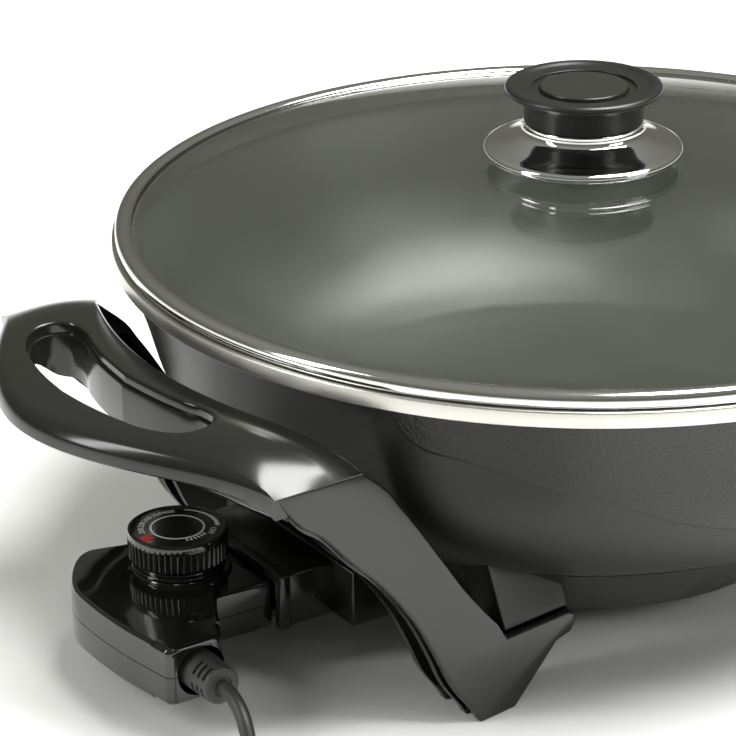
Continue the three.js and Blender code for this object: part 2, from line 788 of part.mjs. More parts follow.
function buildHandle(endSign) {
  const slotBottom = handleTop - slotWallDepth;
  const panSide = upright(slotMiddle, [0, 0], slotBottom - overrun, handleTop, bowlSides);
  const collarTop = handleTop - outerEdgeSink;
  const collar = raised(slotOutline(endSign, slotWall), slotBottom, collarTop).intersect(panSide);
  let handle = buildPlate(endSign).add(collar);

  const outboard = legPoints(legOutboardShares).map(([reach, height], i) => (
    i === legOutboardShares.length - 1 ? [reach, height] : [reach, height - edgeRound / 2]
  ));
  const foot = legPoints([...footShares, notchShares]);
  const inboard = legPoints(legInboardShares);
  const skin = [...outboard, ...foot, ...inboard];
  const recessed = (inset) => inboard.map(([reach, height]) => [reach + inset, height]);
  const comb = [...outboard, ...foot, ...recessed(ribInset)];
  const pocketTop = creaseHeight - plateThickness;
  const ends = recessed(ribInset + legWeb).filter(([, height]) => height < pocketTop);
  const pocket = [
    [footShares[0][0] * creaseOuterReach + legWeb, -overrun],
    [notchShares[0] * creaseOuterReach + legWeb, armTop],
    ...ends,
    [ends[ends.length - 1][0] + legWeb, pocketTop],
    [creaseOuterReach - legWeb, pocketTop],
    [creaseOuterReach + plateThickness, pocketTop - plateThickness],
    [creaseOuterReach + plateThickness, -overrun],
  ];
  const reachAll = [
    [0, -overrun], [handleReach, -overrun], [handleReach, handleTop], [0, handleTop],
  ];
  for (const sideSign of [-1, 1]) {
    const behind = (depth) => legSlab(reachAll, depth, legFace, endSign, sideSign);
    const beyond = legFaceAt(creaseInnerReach, 0) + legSkin;
    const ribs = legPrism(comb, innerRib, beyond, endSign, sideSign)
      .subtract(legPrism(pocket, innerRib + ribThickness, middleRib, endSign, sideSign))
      .subtract(legPrism(pocket, middleRib + ribThickness, beyond + overrun, endSign, sideSign));
    handle = handle.add(legSlab(skin, 0, legSkin, endSign, sideSign));
    handle = handle.add(ribs.intersect(behind(legSkin / 2)));
    const place = legScrewPlace(endSign, sideSign);
    const shankRoom = screwRadius + fitGap;
    handle = handle.subtract(upright(shankRoom, place, legScrewSeat - overrun, lugBottom + overrun));
    const headRoom = screwHeadRadius + counterboreGap;
    handle = handle.subtract(upright(headRoom, place, -overrun, legScrewSeat));
  }
  const slot = raised(slotOutline(endSign, 0), slotBottom - overrun, handleTop + plateCrown + overrun);
  return handle.subtract(slot).subtract(panEnvelope(fitGap)).subtract(housingEnvelope(fitGap));
}

add('handle_control_side', buildHandle(-1), 'phenolic');
add('handle_far_side', buildHandle(1), 'phenolic');
let legScrewNumber = 1;
for (const endSign of [-1, 1]) {
  for (const sideSign of [-1, 1]) {
    const place = legScrewPlace(endSign, sideSign);
    const seat = legScrewSeat - fitGap;
    const solid = screw(place, seat, legScrewLength, screwHeadRadius, screwHeadHeight, screwRadius);
    add(`leg_screw_${legScrewNumber}`, solid, 'steel');
    legScrewNumber += 1;
  }
}

// Lid: rolled rim and glass dome
const rimBottom = bandTop + fitGap;
const glassBottomEdge = rimBottom + lidRimSheet + fitGap;
const glassEdgeRadius = lidRimRadius - 2 * lidRimSheet - fitGap;
const gripInner = glassEdgeRadius - glassGrip;
const beadTop = glassBottomEdge + glassThickness + fitGap + lidRimSheet;
const glassTopAt = (radius) => {
  const share = Math.min(1, radius / gripInner);
  return glassBottomEdge + glassThickness + domeRise * (1 - share ** 2);
};

function buildLidRim() {
  const skirtInner = rimInner - 2 * fitGap - lidSkirtSheet;
  const skirtBottom = bandTop - lidSkirtDepth;
  const slotOuter = glassEdgeRadius + fitGap;
  const slotTop = glassBottomEdge + glassThickness + fitGap;
  const lipInner = lidRimRadius - lidRimGrip;
  return turnedRing([
    [skirtInner, skirtBottom], [skirtInner + lidSkirtSheet, skirtBottom],
    [skirtInner + lidSkirtSheet, rimBottom], [lidRimRadius, rimBottom],
    [lidRimRadius, rimBottom + lidRimSheet], [lidRimRadius - lidRimSheet, rimBottom + 2 * lidRimSheet],
    [lidRimRadius - lidRimSheet, slotTop - lidRimSheet],
    [lidRimRadius - lidRimSheet + beadBulge / 2, slotTop],
    [lidRimRadius - 2 * lidRimSheet, beadTop], [lipInner, beadTop + beadBulge], [lipInner, slotTop],
    [slotOuter, slotTop], [slotOuter, glassBottomEdge - fitGap], [skirtInner, glassBottomEdge - fitGap],
  ], bowlSides);
}

function buildGlass() {
  const above = [];
  const below = [];
  for (let i = 0; i <= domeRings; i += 1) {
    const radius = glassHoleRadius + ((gripInner - glassHoleRadius) * i) / domeRings;
    above.push([radius, glassTopAt(radius)]);
    below.push([radius, glassTopAt(radius) - glassThickness]);
  }
  const edge = [[glassEdgeRadius, glassBottomEdge + glassThickness], [glassEdgeRadius, glassBottomEdge]];
  return turnedRing([...above, ...edge, ...below.reverse()], bowlSides);
}

add('lid_rim', buildLidRim(), 'polished');
add('lid_glass', buildGlass(), 'glass');

// Knob, from the washer under the glass up to the cap; its boss passes through the skirt to the gasket
const glassTop = glassTopAt(glassHoleRadius);
const boltHole = screwRadius + fitGap;
const gasketTop = glassTop + fitGap + gasketHeight;
const hubFoot = skirtEdgeHeight + skirtRise;
const hubTop = hubFoot + skirtHub;
const knobBase = hubTop + fitGap;
const knobTop = knobBase + knobHeight;
const capSeat = knobTop - knobDish + capProud - capHeight;
const washerTop = glassTop - glassThickness - fitGap;

add('knob_washer', turnedRing([
  [boltHole, washerTop - washerHeight], [washerRadius, washerTop - washerHeight], [washerRadius, washerTop],
  [boltHole, washerTop],
], smallSides), 'steel');
add('knob_gasket', turnedRing([
  [boltHole, glassTop + fitGap], [gasketRadius, glassTop + fitGap], [gasketRadius, gasketTop],
  [boltHole, gasketTop],
], smallSides), 'silicone');

function buildKnobSkirt() {
  const foot = glassTopAt(skirtBaseRadius) + fitGap;
  const slope = skirtRiseShares.map(([out, up]) => [
    hubRadius + out * (skirtRadius - hubRadius),
    skirtEdgeHeight + up * skirtRise,
  ]);
  const inside = hubRadius - skirtWall;
  const throatTop = skirtEdgeHeight + skirtThroatShare * skirtRise - skirtWall;
  return turnedRing([
    [skirtBaseRadius - skirtWall, foot], [skirtBaseRadius, foot],
    [skirtRadius - rimChamfer, skirtEdgeHeight - skirtEdge], [skirtRadius, skirtEdgeHeight - skirtEdge / 2],
    ...slope,
    [hubRadius, hubTop - rimChamfer], [hubRadius - rimChamfer, hubTop], [bossRadius + fitGap, hubTop],
    [bossRadius + fitGap, hubTop - skirtWall], [inside, hubTop - skirtWall], [inside, throatTop],
    [skirtBaseRadius - skirtWall, skirtEdgeHeight - skirtWall],
  ], ringSides);
}

add('knob_skirt', buildKnobSkirt(), 'polished');

function buildKnob() {
  const flangeFoot = knobTop - knobFlangeHeight;
  const rimFlat = knobFlangeRadius - knobRimWidth / 2;
  const dishRadius = knobFlangeRadius - knobRimWidth;
  const dishTop = knobTop - knobDish;
  const grooveFoot = dishTop - capGrooveDepth;
  const body = solidOf(turned([
    [0, gasketTop + fitGap], [bossRadius, gasketTop + fitGap], [bossRadius, knobBase],
    [knobNeckRadius, knobBase],
    [knobNeckRadius, flangeFoot - 2 * knobNeckFlare], [knobNeckRadius + knobNeckFlare, flangeFoot],
    [rimFlat - knobNeckFlare, flangeFoot + rimChamfer], [knobFlangeRadius, flangeFoot + knobFlangeHeight / 2],
    [knobFlangeRadius - rimChamfer, knobTop - rimChamfer], [rimFlat, knobTop],
    [dishRadius, dishTop + rimChamfer / 2],
    [capRadius + capGroove, dishTop], [capRadius + capGroove, grooveFoot], [capRadius + fitGap, grooveFoot],
    [capRadius + fitGap, capSeat - fitGap], [0, capSeat - fitGap],
  ], ringSides));
  return body.subtract(upright(boltHole, [0, 0], gasketTop, knobBase + knobBoreDepth, screwSides));
}

add('knob_body', buildKnob(), 'phenolic');
add('knob_cap', solidOf(turned([
  [0, capSeat], [capRadius, capSeat], [capRadius, capSeat + capHeight - rimChamfer],
  [capRadius - rimChamfer, capSeat + capHeight], [0, capSeat + capHeight],
], ringSides)), 'phenolic');
const boltSeat = washerTop - washerHeight - fitGap;
const boltLength = knobBase + knobBoreDepth - overrun - boltSeat;
const bolt = screw([0, 0], boltSeat, boltLength, screwHeadRadius, screwHeadHeight, screwRadius);
add('knob_screw', bolt, 'steel');

// Heat control: casing halves split at mid height, solid nose with bores, hollow neck and head
const headPoints = (shares) => shares.map(([out, across]) => [
  -neckEnd - out * headLength,
  across * headCordEnd,
]);
const headOutline = headPoints(headPlanShares);
const dialPlace = [-dialReach, 0];
const pedestalTop = controlAxis + headHeight / 2 + pedestalRise;
const dialBottom = pedestalTop + bezelSteps * bezelStepRise + 2 * fitGap;
const shaftBottom = controlAxis - neckHeight / 2 + caseWall + fitGap + thermostatSheet + fitGap
  + bladeStart + bladeSpacing + bladeSheet + fitGap;
const caseScrewSites = headPoints(caseScrewShares);

function centredBlock(near, far, halfWidth, height) {
  return block([-far, -halfWidth, controlAxis - height / 2], [-near, halfWidth, controlAxis + height / 2]);
}

function buildCase() {
  const headLow = controlAxis - headHeight / 2;
  const headHigh = controlAxis + headHeight / 2;
  let shell = raised(headOutline, headLow, headHigh);
  shell = shell.add(centredBlock(shroudFront, neckEnd + caseWall, neckHalfWidth, neckHeight));
  shell = shell.add(centredBlock(noseFront, shroudFront + overrun, noseHalfWidth, noseHeight));
  shell = shell.add(upright(pedestalRadius, dialPlace, controlAxis, pedestalTop, ringSides));

  const cordEndPlane = -headCordEnd + cordEndWall;
  let hollow = raised(insetOutline(headOutline, caseWall), headLow + caseWall, headHigh - caseWall);
  hollow = hollow.intersect(block(
    [-headReach, cordEndPlane, headLow], [-noseBack, headCordEnd, headHigh],
  ));
  hollow = hollow.add(centredBlock(
    noseBack, neckEnd + 2 * caseWall, neckHalfWidth - caseWall, neckHeight - 2 * caseWall,
  ));
  for (const site of caseScrewSites) {
    hollow = hollow.subtract(upright(caseColumnRadius, site, headLow, headHigh, screwSides));
  }
  shell = shell.subtract(hollow);

  const boreStart = noseFront - overrun;
  const boreEnd = noseBack + overrun;
  shell = shell.subtract(lengthwise(sensorRadius + fitGap, 0, controlAxis, boreStart, boreEnd));
  for (const y of [-terminalSpacing / 2, terminalSpacing / 2]) {
    const sleeve = pinRadius + sleeveWall + 2 * fitGap;
    shell = shell.subtract(lengthwise(pinRadius + fitGap, y, controlAxis, boreStart, boreEnd));
    shell = shell.subtract(lengthwise(sleeve, y, controlAxis, sleeveFront - fitGap, boreEnd));
  }
  shell = shell.subtract(upright(shaftRadius + fitGap, dialPlace, controlAxis, pedestalTop + overrun));

  const recess = new THREE.CylinderGeometry(
    reliefRecessRadius, reliefRecessRadius, reliefRecessDepth + overrun, smallSides,
  ).translate(-cordAxisReach, -headCordEnd + (reliefRecessDepth - overrun) / 2, controlAxis);
  const hole = new THREE.CylinderGeometry(
    reliefNeckRadius + fitGap, reliefNeckRadius + fitGap, cordEndWall + 2 * overrun, smallSides,
  ).translate(-cordAxisReach, -headCordEnd + cordEndWall / 2, controlAxis);
  shell = shell.subtract(solidOf(recess)).subtract(solidOf(hole));

  for (const site of caseScrewSites) {
    const seat = headLow + caseScrewSeat;
    shell = shell.subtract(upright(caseScrewHead + fitGap, site, headLow - overrun, seat, screwSides));
    const top = seat + caseScrewLength + fitGap;
    shell = shell.subtract(upright(caseScrewRadius + fitGap, site, headLow, top, screwSides));
  }
  return shell;
}

const caseShell = buildCase();
const caseReach = [-headReach - overrun, -headCordEnd - overrun];
const caseFar = [-noseFront + overrun, headCordEnd + overrun];
const seamHalf = fitGap / 2;
add('control_case_top', caseShell.intersect(
  block([...caseReach, controlAxis + seamHalf], [...caseFar, pedestalTop + overrun]),
), 'glossBlack');
add('control_case_bottom', caseShell.intersect(
  block([...caseReach, controlAxis - headHeight], [...caseFar, controlAxis - seamHalf]),
), 'glossBlack');
caseScrewSites.forEach((site, i) => {
  const seat = controlAxis - headHeight / 2 + caseScrewSeat - fitGap;
  const solid = screw(site, seat, caseScrewLength, caseScrewHead, caseScrewHeadHeight, caseScrewRadius);
  add(`case_screw_${i + 1}`, solid, 'steel');
});

// Dial with a fluted grip and a smooth upper band, its stepped bezel and its spindle
function buildDial() {
  const outline = [];
  for (let i = 0; i < 2 * fluteCount; i += 1) {
    const radius = dialRadius - (i % 2) * fluteDepth;
    const angle = (Math.PI * i) / fluteCount;
    outline.push([dialPlace[0] + radius * Math.cos(angle), radius * Math.sin(angle)]);
  }
  const top = dialBottom + dialHeight;
  const bandLow = top - dialBand;
  const band = turned([
    [0, bandLow], [dialRadius, bandLow], [dialRadius, top - dialChamfer], [dialRadius - dialChamfer, top],
    [dialFaceRadius, top], [dialFaceRadius, top - dialFaceRecess], [0, top - dialFaceRecess],
  ], fluteCount * 2);
  const bore = upright(
    shaftRadius + fitGap, dialPlace, dialBottom - overrun, dialBottom + shaftGrip + fitGap,
  );
  return raised(outline, dialBottom, bandLow).add(solidOf(band.translate(...dialPlace, 0))).subtract(bore);
}

function buildBezel() {
  const bore = shaftRadius + fitGap;
  const profile = [[bore, pedestalTop + fitGap]];
  for (let i = 0; i < bezelSteps; i += 1) {
    const radius = pedestalRadius - i * bezelStep;
    profile.push([radius, pedestalTop + fitGap + i * bezelStepRise]);
    profile.push([radius, pedestalTop + fitGap + (i + 1) * bezelStepRise]);
  }
  profile.push([bore, pedestalTop + fitGap + bezelSteps * bezelStepRise]);
  const closed = turned([...profile, profile[0]], ringSides);
  return solidOf(closed.translate(...dialPlace, 0));
}

function buildShaft() {
  const flangeTop = controlAxis + neckHeight / 2 - caseWall - fitGap;
  const profile = turned([
    [0, shaftBottom], [shaftRadius, shaftBottom], [shaftRadius, flangeTop - shaftFlangeHeight],
    [shaftFlangeRadius, flangeTop - shaftFlangeHeight], [shaftFlangeRadius, flangeTop],
    [shaftRadius, flangeTop],
    [shaftRadius, dialBottom + shaftGrip], [0, dialBottom + shaftGrip],
  ], smallSides);
  return solidOf(profile.translate(...dialPlace, 0));
}

add('control_dial', buildDial(), 'glossBlack');
add('dial_bezel', buildBezel(), 'glossBlack');
add('dial_shaft', buildShaft(), 'brass');

// Sensor rod, contact sleeves and thermostat
add('sensor_rod', turnedLengthwise([
  [0, sensorTip], [sensorRadius / 2, sensorTip], [sensorRadius, sensorTip + sensorRadius / 2],
  [sensorRadius, sensorBack], [0, sensorBack],
], 0, controlAxis, screwSides), 'polished');
for (const [label, sign] of [['left', -1], ['right', 1]]) {
  const bore = pinRadius + fitGap;
  const sleeve = [
    [bore, sleeveFront], [bore + sleeveWall, sleeveFront], [bore + sleeveWall, sleeveBack],
    [bore, sleeveBack],
  ];
  const y = (sign * terminalSpacing) / 2;
  add(`contact_sleeve_${label}`, turnedLengthwise(sleeve, y, controlAxis, screwSides), 'brass');
}

const frameLow = controlAxis - neckHeight / 2 + caseWall + fitGap;
const frameTop = frameLow + thermostatSheet;
const frameStart = sensorBack + fitGap;
const stackStart = frameStart + thermostatLength - stackLength - overrun;
const bladeFar = stackStart + stackLength - overrun;

function blade(level, grow) {
  const low = frameTop + fitGap + bladeStart + level * bladeSpacing;
  const strip = block(
    [-bladeFar - grow, -bladeWidth / 2 - grow, low - grow],
    [-bladeFar + bladeLength, bladeWidth / 2 + grow, low + bladeSheet + grow],
  );
  if (grow > 0) return strip;
  const at = [-bladeFar + bladeLength - bladeWidth / 2, 0];
  const button = level === 0
    ? upright(contactRadius, at, low + bladeSheet / 2, low + bladeSheet + contactHeight, screwSides)
    : upright(contactRadius, at, low - contactHeight, low + bladeSheet / 2, screwSides);
  return strip.add(button);
}

function buildThermostatFrame() {
  const half = thermostatWidth / 2;
  const plate = block(
    [-frameStart - thermostatLength, -half, frameLow], [-frameStart, half, frameTop],
  );
  return plate.add(block(
    [-frameStart - thermostatSheet, -half, frameLow], [-frameStart, half, frameLow + thermostatUpstand],
  ));
}

add('thermostat_frame', buildThermostatFrame(), 'steel');
const stack = block(
  [-stackStart - stackLength, -stackWidth / 2, frameTop + fitGap],
  [-stackStart, stackWidth / 2, frameTop + fitGap + stackHeight],
);
add('contact_stack', stack.subtract(blade(0, fitGap)).subtract(blade(1, fitGap)), 'ceramic');
add('contact_blade_lower', blade(0, 0), 'brass');
add('contact_blade_upper', blade(1, 0), 'brass');

// Strain relief: flange inside the casing, neck through its wall, tapered barrel and rounded end
function buildRelief() {
  const wallInner = headCordEnd - cordEndWall;
  const barrelStart = headCordEnd - reliefRecessDepth + fitGap;
  const barrelEnd = barrelStart + reliefBarrel;
  const endRadius = reliefRadius - reliefTaper;
  const profile = [
    [0, wallInner - fitGap - reliefFlange], [reliefFlangeRadius, wallInner - fitGap - reliefFlange],
    [reliefFlangeRadius, wallInner - fitGap], [reliefNeckRadius, wallInner - fitGap],
    [reliefNeckRadius, barrelStart], [reliefRadius, barrelStart], [endRadius, barrelEnd - reliefEndRound],
    [endRadius - reliefEndRound, barrelEnd], [0, barrelEnd],
  ];
  const geometry = turned(profile, smallSides).rotateX(Math.PI / 2);
  return solidOf(geometry.translate(-cordAxisReach, 0, controlAxis));
}

add('strain_relief', buildRelief(), 'rubber');

// Cord, its coil and tie, and the plug
const coilLow = tieSheet + fitGap;
function coilRing(grow) {
  const inner = coilMiddle - coilHalfWidth - grow;
  const outer = coilMiddle + coilHalfWidth + grow;
  const profile = [
    [inner, coilLow - grow], [outer, coilLow - grow], [outer, coilLow + coilHeight + grow],
    [inner, coilLow + coilHeight + grow],
  ];
  return solidOf(turned([...profile, profile[0]], ringSides).translate(...coilCentre, 0));
}

function buildTie() {
  const half = coilHalfWidth + fitGap;
  const high = coilLow + coilHeight + fitGap;
  const outer = block(
    [coilMiddle - half - tieSheet, -tieWidth / 2, 0],
    [coilMiddle + half + tieSheet, tieWidth / 2, high + tieSheet],
  );
  const inner = block(
    [coilMiddle - half, -tieWidth, tieSheet], [coilMiddle + half, tieWidth, high],
  );
  const { vertProperties, triVerts } = outer.subtract(inner).getMesh();
  const geometry = new THREE.BufferGeometry();
  geometry.setAttribute('position', new THREE.BufferAttribute(vertProperties, 3));
  geometry.setIndex(new THREE.BufferAttribute(triVerts, 1));
  return solidOf(geometry.rotateZ(tieAngle).translate(...coilCentre, 0)).subtract(coilRing(fitGap));
}

add('cord', bar(cordRoute, cordRadius, cordSides, cordSteps).subtract(coilRing(fitGap)), 'rubber');
add('cord_coil', coilRing(0), 'rubber');
add('cord_tail', bar(tailRoute, cordRadius, cordSides, tailSteps).subtract(coilRing(fitGap)), 'rubber');
add('cord_tie', buildTie(), 'rubber');

// The plug lies on the table with its cord end at the end of the tail.
const plugStart = tailRoute[tailRoute.length - 1];
function plugPiece(geometry) {
  return solidOf(geometry.rotateZ(plugTurn).translate(plugStart[0], plugStart[1], plugHeight / 2));
}

function buildPlug() {
  const back = fitGap;
  const shoulder = back + plugNeckLength;
  const front = back + plugLength;
  const side = plugWidth / 2;
  const outline = [
    [back, -plugNeck], [shoulder, -side + plugCorner], [shoulder + plugCorner, -side], [front, -side],
    [front, side], [shoulder + plugCorner, side], [shoulder, side - plugCorner], [back, plugNeck],
  ];
  const shape = new THREE.Shape(outline.map(([x, y]) => new THREE.Vector2(x, y)));
  const geometry = new THREE.ExtrudeGeometry(shape, { depth: plugHeight, bevelEnabled: false });
  let plug = plugPiece(geometry.translate(0, 0, -plugHeight / 2));
  for (const sign of [-1, 1]) plug = plug.subtract(plugBlade(sign, fitGap));
  return plug;
}

function plugBlade(sign, grow) {
  const root = plugLength - bladeSocket;
  const geometry = new THREE.BoxGeometry(
    bladeReach + bladeSocket + 2 * grow, plugBladeSheet + 2 * grow, bladeBreadth + 2 * grow,
  );
  const middle = root + (bladeReach + bladeSocket) / 2;
  return plugPiece(geometry.translate(middle, (sign * bladeGauge) / 2, 0));
}

add('plug_body', buildPlug(), 'rubber');
add('plug_blade_left', plugBlade(-1, 0), 'brass');
add('plug_blade_right', plugBlade(1, 0), 'brass');

export default group;
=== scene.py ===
import math

import bmesh
import bpy
from mathutils import Matrix, Vector


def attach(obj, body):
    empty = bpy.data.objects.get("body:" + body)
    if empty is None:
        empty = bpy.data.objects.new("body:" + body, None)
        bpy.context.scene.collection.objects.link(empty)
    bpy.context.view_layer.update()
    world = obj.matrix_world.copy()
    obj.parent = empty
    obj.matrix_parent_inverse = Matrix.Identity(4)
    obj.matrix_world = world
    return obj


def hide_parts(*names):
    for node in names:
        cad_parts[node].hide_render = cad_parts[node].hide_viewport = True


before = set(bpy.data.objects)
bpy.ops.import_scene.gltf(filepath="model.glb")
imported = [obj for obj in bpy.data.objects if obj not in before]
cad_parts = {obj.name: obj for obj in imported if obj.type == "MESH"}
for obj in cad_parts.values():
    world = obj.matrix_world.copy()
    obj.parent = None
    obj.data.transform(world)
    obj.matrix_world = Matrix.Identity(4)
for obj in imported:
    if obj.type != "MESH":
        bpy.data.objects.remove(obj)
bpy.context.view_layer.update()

# The view: a long lens above the rim, turned from the front towards the heat control, tilted down and
# very slightly rolled, for a square frame. The Standard transform keeps the plain tones of a catalogue.
VIEW_TURN = math.radians(-33)
VIEW_TILT = math.radians(23.23)
VIEW_ROLL = math.radians(-0.64)
VIEW_PLACE = Vector((-0.6594, -0.8754, 0.5355))
VIEW_LENS = 161.4
SENSOR = 36

camera_data = bpy.data.cameras.new("camera")
camera_data.lens = VIEW_LENS
camera_data.sensor_width = SENSOR
camera_data.sensor_fit = "HORIZONTAL"
camera = bpy.data.objects.new("camera", camera_data)
bpy.context.scene.collection.objects.link(camera)
view_turned = Matrix.Rotation(VIEW_TURN, 4, "Z") @ Matrix.Rotation(math.pi / 2 - VIEW_TILT, 4, "X")
camera.matrix_world = Matrix.Translation(VIEW_PLACE) @ view_turned @ Matrix.Rotation(VIEW_ROLL, 4, "Z")
bpy.context.scene.camera = camera
bpy.context.scene.view_settings.view_transform = "Standard"

# The studio: a white table that runs out of the picture, a dim warm surround that is brighter above,
# and soft boxes above, at the left and in front.
TABLE_RADIUS = 4.0
TABLE_CORNERS = 96
TABLE_TONE = (0.93, 0.93, 0.91, 1)
TABLE_ROUGHNESS = 0.5
SKY_SIDE = (0.16, 0.16, 0.138, 1)
SKY_TOP = (0.30, 0.30, 0.275, 1)
SKY_STOPS = (0.25, 0.75)
SOFT_BOXES = (
    # place, aim, width, height, power
    ((0.5, -0.4, 1.75), (0, 0, 0.1), 1.3, 1.0, 74),
    ((-1.7, 0.4, 1.0), (-0.1, 0, 0.1), 0.4, 1.3, 17),
    ((0.9, -1.6, 0.9), (0, 0, 0.1), 0.9, 0.7, 9),
)


def enter(obj):
    bpy.context.scene.collection.objects.link(obj)
    return obj


def new_node(tree, kind, **values):
    """A new shader node in a tree, its input sockets set by name."""
    node = tree.nodes.new("ShaderNode" + kind)
    for socket, value in values.items():
        node.inputs[socket.replace("_", " ")].default_value = value
    return node


def light_table():
    bm = bmesh.new()
    bmesh.ops.create_circle(bm, cap_ends=True, segments=TABLE_CORNERS, radius=TABLE_RADIUS)
    mesh = bpy.data.meshes.new("table_top")
    bm.to_mesh(mesh)
    bm.free()
    material = bpy.data.materials.new("table_top")
    material.use_nodes = True
    shader = material.node_tree.nodes["Principled BSDF"]
    shader.inputs["Base Color"].default_value = TABLE_TONE
    shader.inputs["Roughness"].default_value = TABLE_ROUGHNESS
    mesh.materials.append(material)
    enter(bpy.data.objects.new("table_top", mesh))


def light_sky():
    world = bpy.data.worlds.new("studio")
    bpy.context.scene.world = world
    world.use_nodes = True
    tree = world.node_tree
    place = new_node(tree, "TexCoord")
    split = new_node(tree, "SeparateXYZ")
    ramp = new_node(tree, "ValToRGB")
    for stop, position, tone in zip(ramp.color_ramp.elements, SKY_STOPS, (SKY_SIDE, SKY_TOP)):
        stop.position = position
        stop.color = tone
    tree.links.new(place.outputs["Generated"], split.inputs[0])
    tree.links.new(split.outputs["Z"], ramp.inputs["Fac"])
    tree.links.new(ramp.outputs["Color"], tree.nodes["Background"].inputs["Color"])


def hang_soft_box(number, place, aim, width, height, power):
    box = bpy.data.lights.new(f"soft_box_{number}", "AREA")
    box.shape = "RECTANGLE"
    box.size = width
    box.size_y = height
    box.energy = power
    lamp = enter(bpy.data.objects.new(box.name, box))
    facing = (Vector(aim) - Vector(place)).to_track_quat("-Z", "Y")
    lamp.matrix_world = Matrix.Translation(place) @ facing.to_matrix().to_4x4()


light_table()
light_sky()
for number, soft_box in enumerate(SOFT_BOXES):
    hang_soft_box(number, *soft_box)

# The cord: a matt black PVC lead 5 mm thick. It leaves the strain relief, bends down to the table,
# lies in a round coil of nearly three turns, two wide and two high, and crosses over to its plug.
# From here on the sizes of shapes are in millimetres, and those inside a material are in metres.
MM = 0.001
CORD_WIDTH = 5
CORD_ROUTE = (
    (-190.5, -66.1, 23.4), (-190.58, -70.24, 23), (-190.83, -74.22, 21.83), (-191.24, -77.89, 19.92),
    (-191.79, -81.11, 17.35), (-192.45, -83.76, 14.22), (-192.97, -85.44, 11.78), (-193.64, -88.09, 8.65),
    (-194.18, -91.31, 6.08), (-194.59, -94.98, 4.17), (-194.84, -98.96, 3), (-194.92, -103.09, 2.6),
    (-194.92, -106.48, 2.6), (-194.4, -111.48, 2.62), (-192.84, -116.26, 2.7), (-190.33, -120.61, 2.9),
    (-186.97, -124.35, 3.3),
)
TAIL_ROUTE = (
    (-184.9, -122.2, 8.6), (-171.9, -123.5, 8.0), (-159.9, -127.5, 7.3), (-151.9, -133.1, 6.8),
    (-148.0, -139.9, 6.5), (-146.6, -146.5, 6.5),
)
COIL_CENTRE = Vector((-197.9, -153.3, 0))
COIL_OUTER = 30
COIL_INNER = 25
COIL_LOW = 3.7
COIL_HIGH = 8.7
COIL_START = math.radians(60)
COIL_SWEEP = 1050
COIL_STEP = 15
COIL_SHIFTS = ((300, 360), (600, 660), (900, 960))
CORD_BETWEEN = 4
CORD_SIDES = 5
HAIR_TURN = (0.3, 0.5, 0.8)
HAIR_STRETCH = (900, 30, 30)
HAIR_CUT = (0.66, 0.72)
CLOUD_SPREAD = (0.3, 0.7)


def eased(value, start, end):
    share = min(1, max(0, (value - start) / (end - start)))
    return share * share * (3 - 2 * share)


def coil_route():
    points = []
    for sweep in range(0, COIL_SWEEP + 1, COIL_STEP):
        inward = eased(sweep, *COIL_SHIFTS[0]) - eased(sweep, *COIL_SHIFTS[2])
        upward = eased(sweep, *COIL_SHIFTS[1])
        radius = COIL_OUTER + inward * (COIL_INNER - COIL_OUTER)
        height = COIL_LOW + upward * (COIL_HIGH - COIL_LOW)
        angle = COIL_START - math.radians(sweep)
        around = Vector((radius * math.cos(angle), radius * math.sin(angle), height))
        points.append(COIL_CENTRE + around)
    return points


def flowing(points, between):
    """A smooth curve through the points, with so many steps from one to the next."""
    points = [Vector(point) for point in points]
    padded = [2 * points[0] - points[1], *points, 2 * points[-1] - points[-2]]
    curve = []
    for a, b, c, d in zip(padded, padded[1:], padded[2:], padded[3:]):
        for step in range(between):
            t = step / between
            bend = 2 * b + (c - a) * t + (2 * a - 5 * b + 4 * c - d) * t * t
            curve.append((bend + (3 * b - a - 3 * c + d) * t ** 3) / 2)
    curve.append(points[-1])
    return curve


def surface_group():
    """Cloudy tone, fine grain and hair scratches, from the place on the object."""
    group = bpy.data.node_groups.new("surface_marks", "ShaderNodeTree")
    for name in ("Cloud Scale", "Grain Scale"):
        group.interface.new_socket(name, in_out="INPUT", socket_type="NodeSocketFloat")
    for name in ("Cloud", "Grain", "Scratches"):
        group.interface.new_socket(name, in_out="OUTPUT", socket_type="NodeSocketFloat")
    link = group.links.new
    inside = group.nodes.new("NodeGroupInput")
    outside = group.nodes.new("NodeGroupOutput")
    place = new_node(group, "TexCoord")
    cloud = new_node(group, "TexNoise", Detail=4)
    grain = new_node(group, "TexNoise", Detail=2)
    stretch = new_node(group, "Mapping", Rotation=HAIR_TURN, Scale=HAIR_STRETCH)
    hair = new_node(group, "TexNoise", Detail=3, Scale=1)
    marked = new_node(group, "MapRange", From_Min=HAIR_CUT[0], From_Max=HAIR_CUT[1])
    for node in (cloud, grain, stretch):
        link(place.outputs["Object"], node.inputs["Vector"])
    link(stretch.outputs["Vector"], hair.inputs["Vector"])
    link(inside.outputs["Cloud Scale"], cloud.inputs["Scale"])
    link(inside.outputs["Grain Scale"], grain.inputs["Scale"])
    link(cloud.outputs["Fac"], outside.inputs["Cloud"])
    link(grain.outputs["Fac"], outside.inputs["Grain"])
    link(hair.outputs["Fac"], marked.inputs["Value"])
    link(marked.outputs["Result"], outside.inputs["Scratches"])
    return group


surface_marks = surface_group()


def new_tree(name):
    """A new material with nodes: the material, its tree and its shader."""
    material = bpy.data.materials.new(name)
    material.use_nodes = True
    return material, material.node_tree, material.node_tree.nodes["Principled BSDF"]


